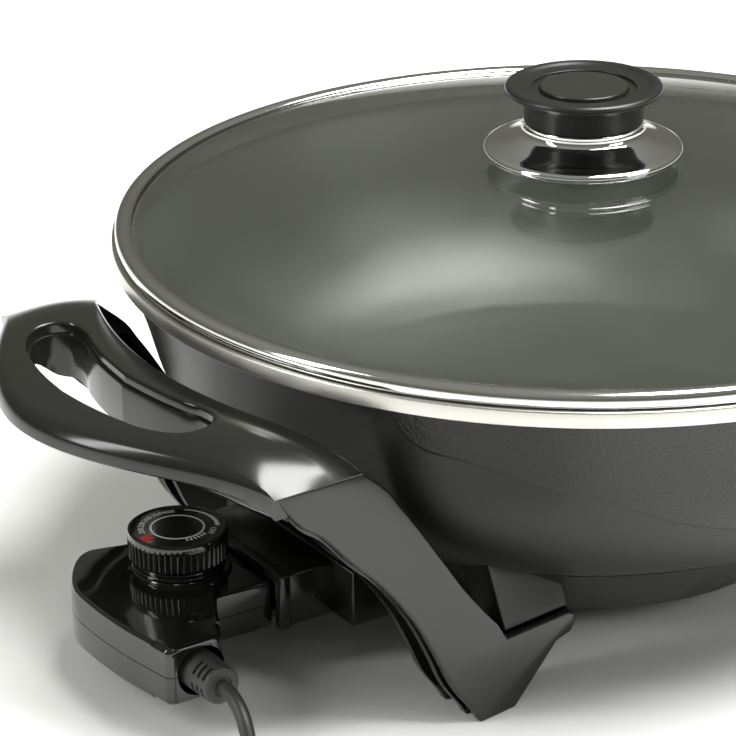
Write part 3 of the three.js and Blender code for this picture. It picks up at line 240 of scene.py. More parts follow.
def toned(tree, shader, tones, clouds, grain):
    """The surface marks in a material's tree, with the base colour between two tones by their clouds."""
    marks = tree.nodes.new("ShaderNodeGroup")
    marks.node_tree = surface_marks
    marks.inputs["Cloud Scale"].default_value = clouds
    marks.inputs["Grain Scale"].default_value = grain
    tone = tree.nodes.new("ShaderNodeMix")
    tone.data_type = "RGBA"
    tone.inputs["A"].default_value = (*tones[0], 1)
    tone.inputs["B"].default_value = (*tones[1], 1)
    tree.links.new(marks.outputs["Cloud"], tone.inputs["Factor"])
    tree.links.new(tone.outputs["Result"], shader.inputs["Base Color"])
    return marks


def finish(name, tones, sheen, clouds, grain, bump, scratch=0.0, **settings):
    """A material whose tone and roughness drift over the surface, with grain and hair scratches."""
    material, tree, shader = new_tree(name)
    link = tree.links.new
    for socket, value in settings.items():
        shader.inputs[socket.replace("_", " ")].default_value = value
    marks = toned(tree, shader, tones, clouds, grain)
    low, high = CLOUD_SPREAD
    spread = new_node(tree, "MapRange", From_Min=low, From_Max=high, To_Min=sheen[0], To_Max=sheen[1])
    link(marks.outputs["Cloud"], spread.inputs["Value"])
    scuffed = new_node(tree, "Math")
    scuffed.operation = "MULTIPLY_ADD"
    scuffed.inputs[1].default_value = scratch
    link(marks.outputs["Scratches"], scuffed.inputs[0])
    link(spread.outputs["Result"], scuffed.inputs[2])
    link(scuffed.outputs["Value"], shader.inputs["Roughness"])
    relief = new_node(tree, "Bump", Strength=1, Distance=bump)
    link(marks.outputs["Grain"], relief.inputs["Height"])
    link(relief.outputs["Normal"], shader.inputs["Normal"])
    return material


cord_rubber = finish(
    "cord_rubber", ((0.014, 0.014, 0.014), (0.022, 0.022, 0.021)), (0.42, 0.55),
    clouds=60, grain=1800, bump=0.00002, scratch=0.1,
)
cord_curve = [MM * point for point in flowing([*CORD_ROUTE, *coil_route(), *TAIL_ROUTE], CORD_BETWEEN)]
cord_data = bpy.data.curves.new("supply_cord", "CURVE")
cord_data.dimensions = "3D"
cord_data.bevel_depth = MM * CORD_WIDTH / 2
cord_data.bevel_resolution = CORD_SIDES
cord_data.use_fill_caps = True
cord_spline = cord_data.splines.new("POLY")
cord_spline.points.add(len(cord_curve) - 1)
for point, place in zip(cord_spline.points, cord_curve):
    point.co = (*place, 1)
cord_spline.use_smooth = True
cord_data.materials.append(cord_rubber)
supply_cord = enter(bpy.data.objects.new("supply_cord", cord_data))
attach(supply_cord, "heat_control")
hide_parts("cord", "cord_coil", "cord_tail")

# The cord's tie: a soft black strap that goes once round the coil, square with rounded corners.
TIE_SHEET = 0.9
TIE_WIDTH = 7
TIE_TURN = math.radians(-20)
TIE_HIGH = 12.4
TIE_REACH = 6.2


def piece(name, bm, body, materials, nodes=(), crease=32):
    """A finished piece in metres, smooth but for its sharp edges, on its body, standing for nodes."""
    mesh = bpy.data.meshes.new(name)
    bmesh.ops.scale(bm, verts=bm.verts, vec=(MM, MM, MM))
    bm.to_mesh(mesh)
    bm.free()
    for face in mesh.polygons:
        face.use_smooth = True
    mesh.set_sharp_from_angle(angle=math.radians(crease))
    obj = enter(bpy.data.objects.new(name, mesh))
    for material in materials:
        mesh.materials.append(material)
    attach(obj, body)
    if nodes:
        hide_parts(*nodes)
    return obj


def new_verts(geometry):
    return [part for part in geometry if isinstance(part, bmesh.types.BMVert)]


def face_out(bm):
    bmesh.ops.recalc_face_normals(bm, faces=bm.faces)
    return bm


def moved(bm, *step):
    bmesh.ops.translate(bm, verts=bm.verts, vec=step)
    return bm


def spun(bm, turn, axis="Z"):
    """Turns a mesh about one of the frame's axes."""
    bmesh.ops.rotate(bm, verts=bm.verts, cent=(0, 0, 0), matrix=Matrix.Rotation(turn, 3, axis))
    return bm


def box_outline(near, low, far, high):
    return [(near, low), (far, low), (far, high), (near, high)]


def round_edges(bm, edges, width, segments, clamp=True):
    bmesh.ops.bevel(
        bm, geom=edges, offset=width, offset_type="OFFSET", affect="EDGES", segments=segments,
        profile=0.5, clamp_overlap=clamp, material=-1,
    )


def soften(bm, width, segments=3, angle=30, where=None):
    """Rounds the sharp edges of a mesh, or those of them that lie where it is asked."""
    edges = [edge for edge in bm.edges if edge.calc_face_angle(0) > math.radians(angle)]
    if where:
        edges = [edge for edge in edges if all(where(vert.co) for vert in edge.verts)]
    round_edges(bm, edges, width, segments)


coil_middle = (COIL_OUTER + COIL_INNER) / 2
bm = bmesh.new()
strap = [
    bm.verts.new((coil_middle + across, -TIE_WIDTH / 2, height))
    for across, height in box_outline(-TIE_REACH, 0, TIE_REACH, TIE_HIGH)
]
strap_line = [bm.edges.new(pair) for pair in zip(strap, strap[1:] + strap[:1])]
drawn = bmesh.ops.extrude_edge_only(bm, edges=strap_line)["geom"]
bmesh.ops.translate(bm, verts=new_verts(drawn), vec=(0, TIE_WIDTH, 0))
face_out(bm)
strap_centre = Vector((coil_middle, 0, TIE_HIGH / 2))
if sum((face.calc_center_median() - strap_centre).dot(face.normal) for face in bm.faces) < 0:
    bmesh.ops.reverse_faces(bm, faces=bm.faces)
bmesh.ops.solidify(bm, geom=bm.faces, thickness=TIE_SHEET)
soften(bm, TIE_SHEET / 3, segments=2)
moved(spun(bm, TIE_TURN), *COIL_CENTRE)
cord_strap = piece("cord_strap", bm, "heat_control", [cord_rubber], ["cord_tie"])

# The plug: a black moulded two-blade plug with a waisted neck on the cord and finger ribs on each face.
# Its two flat brass blades keep their own solids and only take a bright finish.
PLUG_LENGTH = 30.3
PLUG_WIDTH = 22
PLUG_HEIGHT = 13
PLUG_NECK = 5
PLUG_SHOULDER = 8.3
PLUG_SLOPE = 3
PLUG_WAIST_SHARE = 0.4
PLUG_START = 0.3
PLUG_ROUND = 1.6
PLUG_TURN = math.radians(-78)
PLUG_RIBS = (15, 18.5, 22)
RIB_HALF = (0.7, 7)
RIB_PROUD = 0.35
RIB_ROUND = 0.28


def slab(outline, low, high):
    """A new mesh: an outline in x and y raised from one height to another."""
    bm = bmesh.new()
    face = bm.faces.new([bm.verts.new((x, y, low)) for x, y in outline])
    raised = bmesh.ops.extrude_face_region(bm, geom=[face], use_keep_orig=True)["geom"]
    bmesh.ops.translate(bm, verts=new_verts(raised), vec=(0, 0, high - low))
    return face_out(bm)


def take_in(bm, part):
    """Puts a part into a mesh as one more closed shell, its faces outward."""
    if part.calc_volume(signed=True) < 0:
        bmesh.ops.reverse_faces(part, faces=part.faces)
    spare = bpy.data.meshes.new("spare")
    part.to_mesh(spare)
    part.free()
    bm.from_mesh(spare)
    bpy.data.meshes.remove(spare)


plug_outline = [
    (PLUG_START, -PLUG_NECK), (PLUG_SHOULDER, -PLUG_WIDTH * PLUG_WAIST_SHARE),
    (PLUG_SHOULDER + PLUG_SLOPE, -PLUG_WIDTH / 2), (PLUG_LENGTH, -PLUG_WIDTH / 2),
    (PLUG_LENGTH, PLUG_WIDTH / 2), (PLUG_SHOULDER + PLUG_SLOPE, PLUG_WIDTH / 2),
    (PLUG_SHOULDER, PLUG_WIDTH * PLUG_WAIST_SHARE), (PLUG_START, PLUG_NECK),
]
bm = slab(plug_outline, RIB_PROUD - PLUG_HEIGHT / 2, PLUG_HEIGHT / 2 - RIB_PROUD)
soften(bm, PLUG_ROUND)
half_long, half_wide = RIB_HALF
for reach in PLUG_RIBS:
    outline = box_outline(reach - half_long, -half_wide, reach + half_long, half_wide)
    rib = slab(outline, -PLUG_HEIGHT / 2, PLUG_HEIGHT / 2)
    soften(rib, RIB_ROUND, segments=2)
    take_in(bm, rib)
moved(spun(bm, PLUG_TURN), *TAIL_ROUTE[-1][:2], PLUG_HEIGHT / 2)
plug_moulding = piece("plug_moulding", bm, "heat_control", [cord_rubber], ["plug_body"])


def dress(material, *nodes):
    """Gives CAD nodes that stay their finish."""
    for node in nodes:
        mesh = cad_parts[node].data
        mesh.materials.clear()
        mesh.materials.append(material)


contact_brass = finish(
    "contact_brass", ((0.52, 0.36, 0.14), (0.62, 0.44, 0.18)), (0.24, 0.36),
    clouds=90, grain=1200, bump=0.00001, scratch=0.15, Metallic=1.0,
)
dress(contact_brass, "plug_blade_left", "plug_blade_right")

# The pan: one cast aluminium bowl, fired with a hammered dark coating outside and a smooth non-stick
# inside. Its heavy rim band is machined bare. Cast under it: the boss ring round the element and four
# lugs that stand on the legs.
PAN_BOTTOM = 38.8
PAN_FLOOR = 43.8
BAND_BOTTOM = 116.1
BAND_TOP = 121.6
BASE_RADIUS = 113.5
MOUTH_RADIUS = 162.5
BAND_RADIUS = 166.2
RIM_INNER = 159.3
INNER_FOOT = 111
WALL_SHARES = ((0, 0), (0.25, 0.09), (0.46, 0.21), (0.64, 0.36), (0.76, 0.52), (0.87, 0.76), (1, 1))
WALL_BETWEEN = 4
BOSS_INNER = 75
BOSS_OUTER = 93
BOSS_BOTTOM = 29.6
BOSS_ROUND = 1
BAND_ROUND = 0.7
BAND_FOOT_ROUND = 0.4
RIM_ROUND = 0.6
PAN_STEPS = 192
BARE_DEPTH = 0.8
BAND_MARGIN = 0.05
FLOOR_MARGIN = 0.1
UP_FACING = 0.3
IN_FACING = -0.1
MERGE_NEAR = 0.001
MERGE_TURNED = 0.0005
SAME = 0.001


def merge(bm, distance=MERGE_NEAR):
    bmesh.ops.remove_doubles(bm, verts=bm.verts, dist=distance)


def turned(profile, steps):
    """Points of radius, height and, where a corner is round, its rounding, spun round the upright axis."""
    bm = bmesh.new()
    ring = [bm.verts.new((radius, 0, height)) for radius, height, *_ in profile]
    line = [bm.edges.new(pair) for pair in zip(ring, ring[1:])]
    if profile[0][0] > 0:
        line.append(bm.edges.new((ring[-1], ring[0])))
    bmesh.ops.spin(
        bm, geom=[*ring, *line], cent=(0, 0, 0), axis=(0, 0, 1), dvec=(0, 0, 0), angle=2 * math.pi,
        steps=steps, use_merge=True, use_duplicate=False,
    )
    merge(bm, MERGE_TURNED)
    face_out(bm)
    rounded = [point for point in profile if len(point) > 2]
    for width in sorted({point[2] for point in rounded}):
        corners = {(round(radius, 2), round(height, 2)) for radius, height, wide in rounded if wide == width}
        sharp = [
            edge for edge in bm.edges
            if all((round(vert.co.xy.length, 2), round(vert.co.z, 2)) in corners for vert in edge.verts)
            and abs(edge.verts[0].co.z - edge.verts[1].co.z) < SAME
        ]
        round_edges(bm, sharp, width, 4, clamp=False)
    return bm


def line_of(points, between=3):
    """A smooth line through points in a plane."""
    return [(point.x, point.y) for point in flowing([(x, y, 0) for x, y in points], between)]


def pan_wall(foot, mouth, low):
    """The wall's curve from its foot to its mouth, as points of radius and height."""
    width, rise = mouth - foot, BAND_BOTTOM - low
    return line_of([(foot + across * width, low + up * rise) for across, up in WALL_SHARES], WALL_BETWEEN)


outer_wall = pan_wall(BASE_RADIUS, MOUTH_RADIUS, PAN_BOTTOM)
inner_wall = pan_wall(INNER_FOOT, RIM_INNER, PAN_FLOOR)
bm = turned([
    (0, PAN_BOTTOM), (BOSS_INNER, PAN_BOTTOM), (BOSS_INNER, BOSS_BOTTOM, BOSS_ROUND),
    (BOSS_OUTER, BOSS_BOTTOM, BOSS_ROUND), (BOSS_OUTER, PAN_BOTTOM), *outer_wall,
    (BAND_RADIUS, BAND_BOTTOM, BAND_FOOT_ROUND), (BAND_RADIUS, BAND_TOP, BAND_ROUND),
    (RIM_INNER, BAND_TOP, RIM_ROUND), *reversed(inner_wall), (0, PAN_FLOOR),
], PAN_STEPS)
for face in bm.faces:
    middle = face.calc_center_median()
    outward = face.normal.xy.dot(middle.xy) / max(middle.xy.length, 1)
    on_band = middle.z > BAND_BOTTOM - BAND_MARGIN and middle.xy.length > RIM_INNER + 1
    if on_band or middle.z > BAND_TOP - BARE_DEPTH:
        face.material_index = 1
    elif middle.z > PAN_FLOOR - FLOOR_MARGIN and (face.normal.z > UP_FACING or outward < IN_FACING):
        face.material_index = 2

LUG_FOOT = 24.8
LUG_HEAD = 58.1
LUG_OUTLINE = ((67, LUG_FOOT), (95.1, LUG_FOOT), (99.1, LUG_HEAD), (67, LUG_HEAD))
LUG_DEPTH = (3, 18.5)
LUG_CUTS = 5
LUG_ROUND = 0.6
METAL_MIDDLE = 1.5
LEG_FACE = 86.1
LEG_TOE = 0.139
LEG_LEAN = 0.175
CREASE_START = 149.24
CREASE_HEIGHT = 96.1


def leg_face(reach, height):
    """How far the leg's outer face is from the middle plane."""
    return LEG_FACE + LEG_TOE * (reach - CREASE_START) + LEG_LEAN * (CREASE_HEIGHT - height)


def wall_height(radius):
    """The middle of the pan's metal over a distance from its axis."""
    for (r0, z0), (r1, z1) in zip(outer_wall, outer_wall[1:]):
        if r0 <= radius <= r1:
            return z0 + (z1 - z0) * (radius - r0) / (r1 - r0) + METAL_MIDDLE
    return (PAN_BOTTOM + PAN_FLOOR) / 2


def bent(bm, place):
    """Moves each corner of a mesh to where a function of its three sizes puts it."""
    for vert in bm.verts:
        vert.co = place(*vert.co)
    return face_out(bm)


def lug_place(end, side, reach, height, depth):
    """A corner of a lug: behind the leg's face, its head raised into the wall's metal."""
    spot = Vector((end * reach, side * (leg_face(reach, height) - depth), LUG_FOOT))
    share = (height - LUG_FOOT) / (LUG_HEAD - LUG_FOOT)
    spot.z += share * (wall_height(spot.xy.length) - LUG_FOOT)
    return spot


for end in (-1, 1):
    for side in (-1, 1):
        lug = slab(LUG_OUTLINE, *LUG_DEPTH)
        bmesh.ops.subdivide_edges(lug, edges=lug.edges, cuts=LUG_CUTS, use_grid_fill=True)
        bent(lug, lambda *sizes: lug_place(end, side, *sizes))
        soften(lug, LUG_ROUND, angle=60)
        take_in(bm, lug)

COAT_BUMPS = 820
COAT_DEPTH = 0.00022
COAT_HEIGHT = 0.12
COAT_EDGE = 0.004
COAT_RISE = 0.5
COAT_LINE = (
    # share of a quarter turn from the handles, share of COAT_HEIGHT where the hammered skin starts
    (0.0, 1.0), (0.34, 0.98), (0.365, 0.87), (0.39, 0.835), (0.455, 0.81), (0.572, 0.742), (0.655, 0.683),
    (0.733, 0.617), (0.817, 0.567), (1.0, 0.533),
)


def hammered_coat():
    """The fired coating: hammered on the upper wall, smooth below a line that dips between the handles."""
    material = finish(
        "hammered_coat", ((0.011, 0.011, 0.009), (0.017, 0.017, 0.014)), (0.32, 0.40),
        clouds=18, grain=900, bump=0.0, Metallic=0.25,
    )
    tree = material.node_tree
    link = tree.links.new

    def worked(operation, *values):
        node = new_node(tree, "Math")
        node.operation = operation
        for socket, value in zip(node.inputs, values):
            if isinstance(value, (int, float)):
                socket.default_value = value
            else:
                link(value, socket)
        return node.outputs["Value"]

    place = new_node(tree, "TexCoord")
    split = new_node(tree, "SeparateXYZ")
    link(place.outputs["Object"], split.inputs[0])
    across = worked("ABSOLUTE", split.outputs["X"])
    along = worked("ABSOLUTE", split.outputs["Y"])
    turn = worked("MULTIPLY", worked("ARCTAN2", along, across), 2 / math.pi)
    line = new_node(tree, "ValToRGB")
    ramp = line.color_ramp
    ramp.elements[0].position, ramp.elements[1].position = COAT_LINE[0][0], COAT_LINE[-1][0]
    for share, _ in COAT_LINE[1:-1]:
        ramp.elements.new(share)
    for element, (_, height) in zip(ramp.elements, COAT_LINE):
        element.color = (height, height, height, 1)
    link(turn, line.inputs["Fac"])
    above = worked("SUBTRACT", worked("DIVIDE", split.outputs["Z"], COAT_HEIGHT), line.outputs["Color"])
    edge = new_node(tree, "MapRange", From_Min=-COAT_EDGE, From_Max=COAT_EDGE)
    link(above, edge.inputs["Value"])
    bumps = new_node(tree, "TexNoise", Scale=COAT_BUMPS, Detail=1)
    link(place.outputs["Object"], bumps.inputs["Vector"])
    raised = worked("MULTIPLY", worked("ADD", bumps.outputs["Fac"], COAT_RISE), edge.outputs["Result"])
    relief = new_node(tree, "Bump", Strength=1, Distance=COAT_DEPTH)
    link(raised, relief.inputs["Height"])
    link(relief.outputs["Normal"], tree.nodes["Principled BSDF"].inputs["Normal"])
    return material


hammered = hammered_coat()
bare_rim = finish(
    "bare_rim", ((0.52, 0.51, 0.47), (0.66, 0.65, 0.61)), (0.28, 0.40),
    clouds=25, grain=2500, bump=0.000004, scratch=0.12, Metallic=1.0,
)
non_stick = finish(
    "non_stick", ((0.013, 0.014, 0.010), (0.020, 0.021, 0.016)), (0.34, 0.44),
    clouds=30, grain=1500, bump=0.000006, scratch=0.05,
)
piece("pan_bowl", bm, "pan_unit", [hammered, bare_rim, non_stick], ["pan"])

# The heater housing: a pressed steel dish under the pan, enamelled dark, with holes for its four screws,
# the terminals and the sensor. Its CAD shape is right, so a merged copy of it only takes smooth sides.
MERGE_COPY = 0.002
dark_sheet = finish(
    "dark_sheet", ((0.008, 0.008, 0.007), (0.013, 0.013, 0.011)), (0.34, 0.48),
    clouds=22, grain=1600, bump=0.00002, scratch=0.08,
)


def smooth_copy(name, node, body, material, crease=20):
    """A copy of a CAD node's solid with its corners merged, so that its round sides are smooth."""
    bm = bmesh.new()
    bm.from_mesh(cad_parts[node].data)
    bmesh.ops.scale(bm, verts=bm.verts, vec=(1 / MM, 1 / MM, 1 / MM))
    merge(bm, MERGE_COPY)
    for face in bm.faces:
        face.material_index = 0
    return piece(name, bm, body, [material], [node], crease)


smooth_copy("housing_dish", "heater_housing", "pan_unit", dark_sheet)

# The screws: plain zinc-plated steel with pan heads. Four hold the housing, four the legs, two the
# shroud, three the heat control's casing, and one comes up through the glass into the knob. The knob's
# washer and the thermostat's frame are plated like them.
zinc_steel = finish(
    "zinc_steel", ((0.42, 0.42, 0.40), (0.55, 0.55, 0.54)), (0.28, 0.4),
    clouds=120, grain=2000, bump=0.000005, scratch=0.1, Metallic=1.0,
)

housing_screws = [f"housing_screw_{number}" for number in range(1, 5)]
leg_screws = [f"leg_screw_{number}" for number in range(1, 5)]
case_screws = [f"case_screw_{number}" for number in range(1, 4)]
dress(zinc_steel, *housing_screws, *leg_screws, *case_screws, "shroud_screw_left", "shroud_screw_right")
dress(zinc_steel, "knob_screw", "knob_washer", "thermostat_frame")

# The element and its terminals: a steel-sheathed heating tube cast into the boss ring, two plated pins
# in white ceramic bushes, and the ceramic stack that holds the thermostat's contacts.
element_steel = finish(
    "element_steel", ((0.20, 0.19, 0.18), (0.30, 0.28, 0.25)), (0.35, 0.5),
    clouds=60, grain=1500, bump=0.00001, Metallic=1.0,
)
ceramic = finish(
    "ceramic", ((0.72, 0.70, 0.64), (0.80, 0.78, 0.72)), (0.35, 0.5),
    clouds=80, grain=2200, bump=0.00001,
)
dress(element_steel, "heating_element", "terminal_pin_left", "terminal_pin_right")
dress(ceramic, "terminal_insulator_left", "terminal_insulator_right", "contact_stack")

# The two handles: each is one glossy black phenolic moulding, an arched grip with a finger slot and a
# ribbed leg at each end. A screw up through each foot's arm holds it to a lug of the pan.
GRIP_INNER = 172.3
GRIP_REACH = 225
GRIP_TOP = 106.5
GRIP_SINK = 2
GRIP_THICK = 7
GRIP_CROWN = 4
CROWN_POWER = 0.7
SHARE_ROUNDS = 12
CREASE_END = 184.6
CREASE_END_HEIGHT = 97.9
NOSE_POWERS = (1.9, 1.33)
SHOULDER_POWER = 7
NOSE_ROUND = 4.2
INNER_ROUND = 1.8
UNDER_ROUND = 0.8
SLOT_HALF = (
    (187.2, 0), (186.3, 10), (185.0, 20), (182.9, 30), (180.5, 38.3), (180.9, 46.5), (184.0, 49.6),
    (188.8, 50.6), (193.0, 49.0), (196.9, 44.8), (200.7, 38), (203.2, 30), (205.4, 20), (206.8, 10),
    (207.5, 0),
)
SLOT_TIP = (4, 10)
SLOT_BOTTOM = 89.5
SLOT_WALL = 3
SLOT_PAN_SIDE = (203, 189)
SLOT_STEP = (
    # distance out from the slot's wall, drop below the grip's top
    (0, 4.7), (0.12, 4.35), (0.45, 4.2), (1.2, 4.2), (1.2, 3.9), (1.2, 1.3), (1.3, 0.8), (1.55, 0.38),
    (1.95, 0.1), (2.4, 0),
)
SLOT_UNDER_ROUND = 0.6
SLOT_BETWEEN = 6
EDGE_POWER = 0.9
LONG_STEPS = 44
TIP_STEPS = 16
TOP_RINGS = 16
ROUND_RINGS = 5
LEG_SKIN = 4
LEG_ROUND = 0.9
LEG_OUTBOARD = (
    (184.6, 98.2), (175.5, 86.1), (167.4, 80.0), (157.6, 68.8), (146.4, 57.9), (134.5, 41.9), (126.9, 27.2),
    (121.3, 14.8), (114.1, 4.7), (111.5, 0),
)
LEG_FOOT = ((96, 0), (75, 15.9), (68.3, 17.2), (65.7, 20.0), (66.3, 23.1), (68.7, 24.5), (96.7, 24.5))
LEG_INBOARD = (
    (99.7, 29.9), (106.0, 37.7), (112.3, 45.9), (118.3, 55.4), (124.2, 64.7), (130.1, 73.9), (135.0, 80.9),
    (139.9, 87.9), (149.3, 96.4),
)
RIB_PLACES = ((75, 78), (87, 90))
RIB_INSET = 5
RIB_SHADE = 1.2
RIB_END = LEG_FACE + 20
WEB = 3.5
POCKET_TOP = 89


def quarter(steps):
    """The angles of a quarter turn in so many steps."""
    return [math.pi / 2 * step / steps for step in range(steps + 1)]


def grip_edges(along):
    """The grip's pan-side and outer points at a share of the way from its middle to a leg."""
    inner_y = along * LEG_FACE
    outer_y = along * leg_face(CREASE_END, CREASE_END_HEIGHT)
    nose, flank = NOSE_POWERS
    reach = (GRIP_REACH - CREASE_END) * max(0, 1 - abs(along) ** nose) ** flank
    return Vector((math.sqrt(GRIP_INNER ** 2 - inner_y ** 2), inner_y)), Vector((CREASE_END + reach, outer_y))


def grip_place(along, across):
    inner, outer = grip_edges(along)
    return inner.lerp(outer, across)


def grip_flat(along, across):
    """The height of the grip without its crown."""
    rise = abs(along) ** SHOULDER_POWER
    inner = GRIP_TOP - (GRIP_TOP - CREASE_HEIGHT) * rise
    outer = GRIP_TOP - GRIP_SINK - (GRIP_TOP - GRIP_SINK - CREASE_END_HEIGHT) * rise
    return inner + across * (outer - inner)


def grip_height(along, across):
    rise = abs(along) ** SHOULDER_POWER
    bulge = math.sin(math.pi * min(1, max(0, across))) ** CROWN_POWER
    return grip_flat(along, across) + GRIP_CROWN * (1 - rise) * bulge


def grip_shares(place):
    """The shares along and across the grip of a point in x and y."""
    across = 0.5
    for _ in range(SHARE_ROUNDS):
        spread = LEG_FACE + across * (leg_face(CREASE_END, CREASE_END_HEIGHT) - LEG_FACE)
        along = min(1, max(-1, place.y / spread))
        inner, outer = grip_edges(along)
        across = (place.x - inner.x) / (outer.x - inner.x)
    return along, across


def spaced(points, count):
    """So many points at even distances along a line, without its last."""
    marks = [0]
    for a, b in zip(points, points[1:]):
        marks.append(marks[-1] + (b - a).length)
    found = []
    for step in range(count):
        at = marks[-1] * step / count
        k = max(i for i, mark in enumerate(marks[:-1]) if mark <= at)
        found.append(points[k].lerp(points[k + 1], (at - marks[k]) / (marks[k + 1] - marks[k])))
    return found


def slot_loop():
    half = flowing([(x, y, 0) for x, y in SLOT_HALF], SLOT_BETWEEN)
    near, far = (corner * SLOT_BETWEEN for corner in SLOT_TIP)
    parts = (half[:near + 1], half[near:far + 1], half[far:])
    counts = (LONG_STEPS, TIP_STEPS, LONG_STEPS)
    there = [point for part, count in zip(parts, counts) for point in spaced(part, count)] + [half[-1]]
    back = [Vector((point.x, -point.y, 0)) for point in reversed(there[1:-1])]
    return [point.xy for point in [*there, *back]]


def boundary_loop():
    """The grip's outline as shares along and across, in step with the slot's."""
    turns = quarter(LONG_STEPS)[:-1]
    there = [(math.sin(turn) ** EDGE_POWER, 0) for turn in turns]
    there += [(1, step / TIP_STEPS) for step in range(TIP_STEPS)]
    there += [(math.cos(turn) ** EDGE_POWER, 1) for turn in turns] + [(0, 1)]
    return [*there, *((-along, across) for along, across in reversed(there[1:-1]))]


def loft(bm, rings):
    """Closed loops of like count, each drawn out of the one before."""
    ring = [bm.verts.new(place) for place in rings[0]]
    edges = [bm.edges.new(pair) for pair in zip(ring, ring[1:] + ring[:1])]
    for places in rings[1:]:
        geometry = bmesh.ops.extrude_edge_only(bm, edges=edges)["geom"]
        fresh = set(new_verts(geometry))
        edges = [part for part in geometry if isinstance(part, bmesh.types.BMEdge)]
        edges = [edge for edge in edges if fresh.issuperset(edge.verts)]
        following = []
        for vert, place in zip(ring, places):
            [new] = [edge.other_vert(vert) for edge in vert.link_edges if edge.other_vert(vert) in fresh]
            new.co = place
            following.append(new)
        ring = following


def grip_under(along, across):
    return grip_flat(along, across) - GRIP_THICK


def slot_ring(slot, outward, offset, height):
    """A loop beside the slot, its heights found from the place and its shares along and across."""
    ring = []
    for place, away in zip(slot, outward):
        spot = place + offset * away
        ring.append((spot.x, spot.y, height(spot, *grip_shares(spot))))
    return ring


def slot_foot(spot, along, across):
    under = grip_under(along, across)
    return under + eased(spot.length, *SLOT_PAN_SIDE) * (SLOT_BOTTOM - under)


def edge_fade(along):
    """How much of a rounding the grip's edge keeps on the way to its leg, and the grip's width there."""
    inner, outer = grip_edges(along)
    return 1 - abs(along) ** SHOULDER_POWER, (outer - inner).length


def edge_ring(edge, outer_round, inner_round, drawn, dropped, height):
    """A loop near the grip's edge, drawn in and dropped by shares of the roundings at its two sides."""
    ring = []
    for along, across in edge:
        fade, width = edge_fade(along)
        low = inner_round * drawn * fade / width
        high = 1 - outer_round * drawn * fade / width
        at = min(high, max(low, across))
        drop = (inner_round + (outer_round - inner_round) * across) * dropped * fade
        spot = grip_place(along, at)
        ring.append((spot.x, spot.y, height(along, at) - drop))
    return ring


def top_ring(slot, outward, edge, share):
    """A loop over the grip's top, a share of the way from the slot's step to the edge."""
    ring = []
    for place, away, (along, across) in zip(slot, outward, edge):
        fade, width = edge_fade(along)
        rim = min(1 - NOSE_ROUND * fade / width, max(INNER_ROUND * fade / width, across))
        start_along, start_across = grip_shares(place + SLOT_STEP[-1][0] * away)
        at_along = start_along + share * (along - start_along)
        at_across = start_across + share * (rim - start_across)
        spot = grip_place(at_along, at_across)
        ring.append((spot.x, spot.y, grip_height(at_along, at_across)))
    return ring


def grip_rings():
    """The grip's loops, from the slot's foot up, over the top and round the underside to the slot again."""
    slot = slot_loop()
    outward = []
    for before, after in zip(slot[-1:] + slot[:-1], slot[1:] + slot[:1]):
        step = after - before
        outward.append(Vector((-step.y, step.x)).normalized())
    edge = boundary_loop()
    rings = [slot_ring(slot, outward, 0, slot_foot)]
    for offset, drop in SLOT_STEP:
        rings.append(slot_ring(
            slot, outward, offset, lambda spot, along, across: grip_height(along, across) - drop,
        ))
    rings += [top_ring(slot, outward, edge, step / TOP_RINGS) for step in range(1, TOP_RINGS + 1)]
    for turn in quarter(ROUND_RINGS)[1:]:
        drawn, dropped = 1 - math.sin(turn), 1 - math.cos(turn)
        rings.append(edge_ring(edge, NOSE_ROUND, INNER_ROUND, drawn, dropped, grip_height))
    side = [(x, y, grip_under(*shares) + UNDER_ROUND) for shares, (x, y, _) in zip(edge, rings[-1])]
    rings.append(side)
    rings.append(edge_ring(edge, UNDER_ROUND, UNDER_ROUND, 1, 0, grip_under))
    under_slot = SLOT_WALL + SLOT_UNDER_ROUND
    rings.append(slot_ring(slot, outward, under_slot, lambda spot, along, across: grip_under(along, across)))
    rings.append(slot_ring(slot, outward, SLOT_WALL, slot_foot))
    rings.append(rings[0])
    return rings


def leg_skin(outline, end, side):
    """The leg's outer wall, its edges rounded, behind the leaning outer face."""
    bm = slab(outline, 0, LEG_SKIN)
    soften(bm, LEG_ROUND, angle=40)
    return bent(bm, lambda reach, height, depth: (
        end * reach, side * (leg_face(reach, height) - depth), height,
    ))


def leg_rib(outline, near, far, end, side):
    """An upright rib of the leg between two distances from the middle plane, cut off behind the skin."""
    return bent(slab(outline, near, far), lambda reach, height, out: (
        end * reach, side * min(out, leg_face(reach, height) - LEG_SKIN / 2), height,
    ))


def build_handle(end):
    bm = bmesh.new()
    loft(bm, [[(end * x, y, z) for x, y, z in ring] for ring in grip_rings()])
    merge(bm)
    face_out(bm)
    outboard = line_of(LEG_OUTBOARD)
    inboard = line_of(LEG_INBOARD)
    shaded = [(reach, height - RIB_SHADE * (height > RIB_SHADE)) for reach, height in outboard]
    back = [(reach + RIB_INSET, height) for reach, height in inboard]
    web = [(reach + RIB_INSET + WEB, height) for reach, height in inboard if height < POCKET_TOP]
    inside = [point for point in back if point[1] < POCKET_TOP]
    arm = [*LEG_FOOT, (LEG_FOOT[-1][0] + WEB, LEG_FOOT[-1][1]), (LEG_FOOT[0][0] + WEB, 0)]
    for side in (-1, 1):
        take_in(bm, leg_skin([*outboard, *LEG_FOOT, *inboard], end, side))
        for near, far in RIB_PLACES:
            take_in(bm, leg_rib([*shaded, *LEG_FOOT, *back], near, far, end, side))
        for outline in ([*inside, *reversed(web)], arm):
            take_in(bm, leg_rib(outline, RIB_PLACES[0][0], RIB_END, end, side))
    return bm


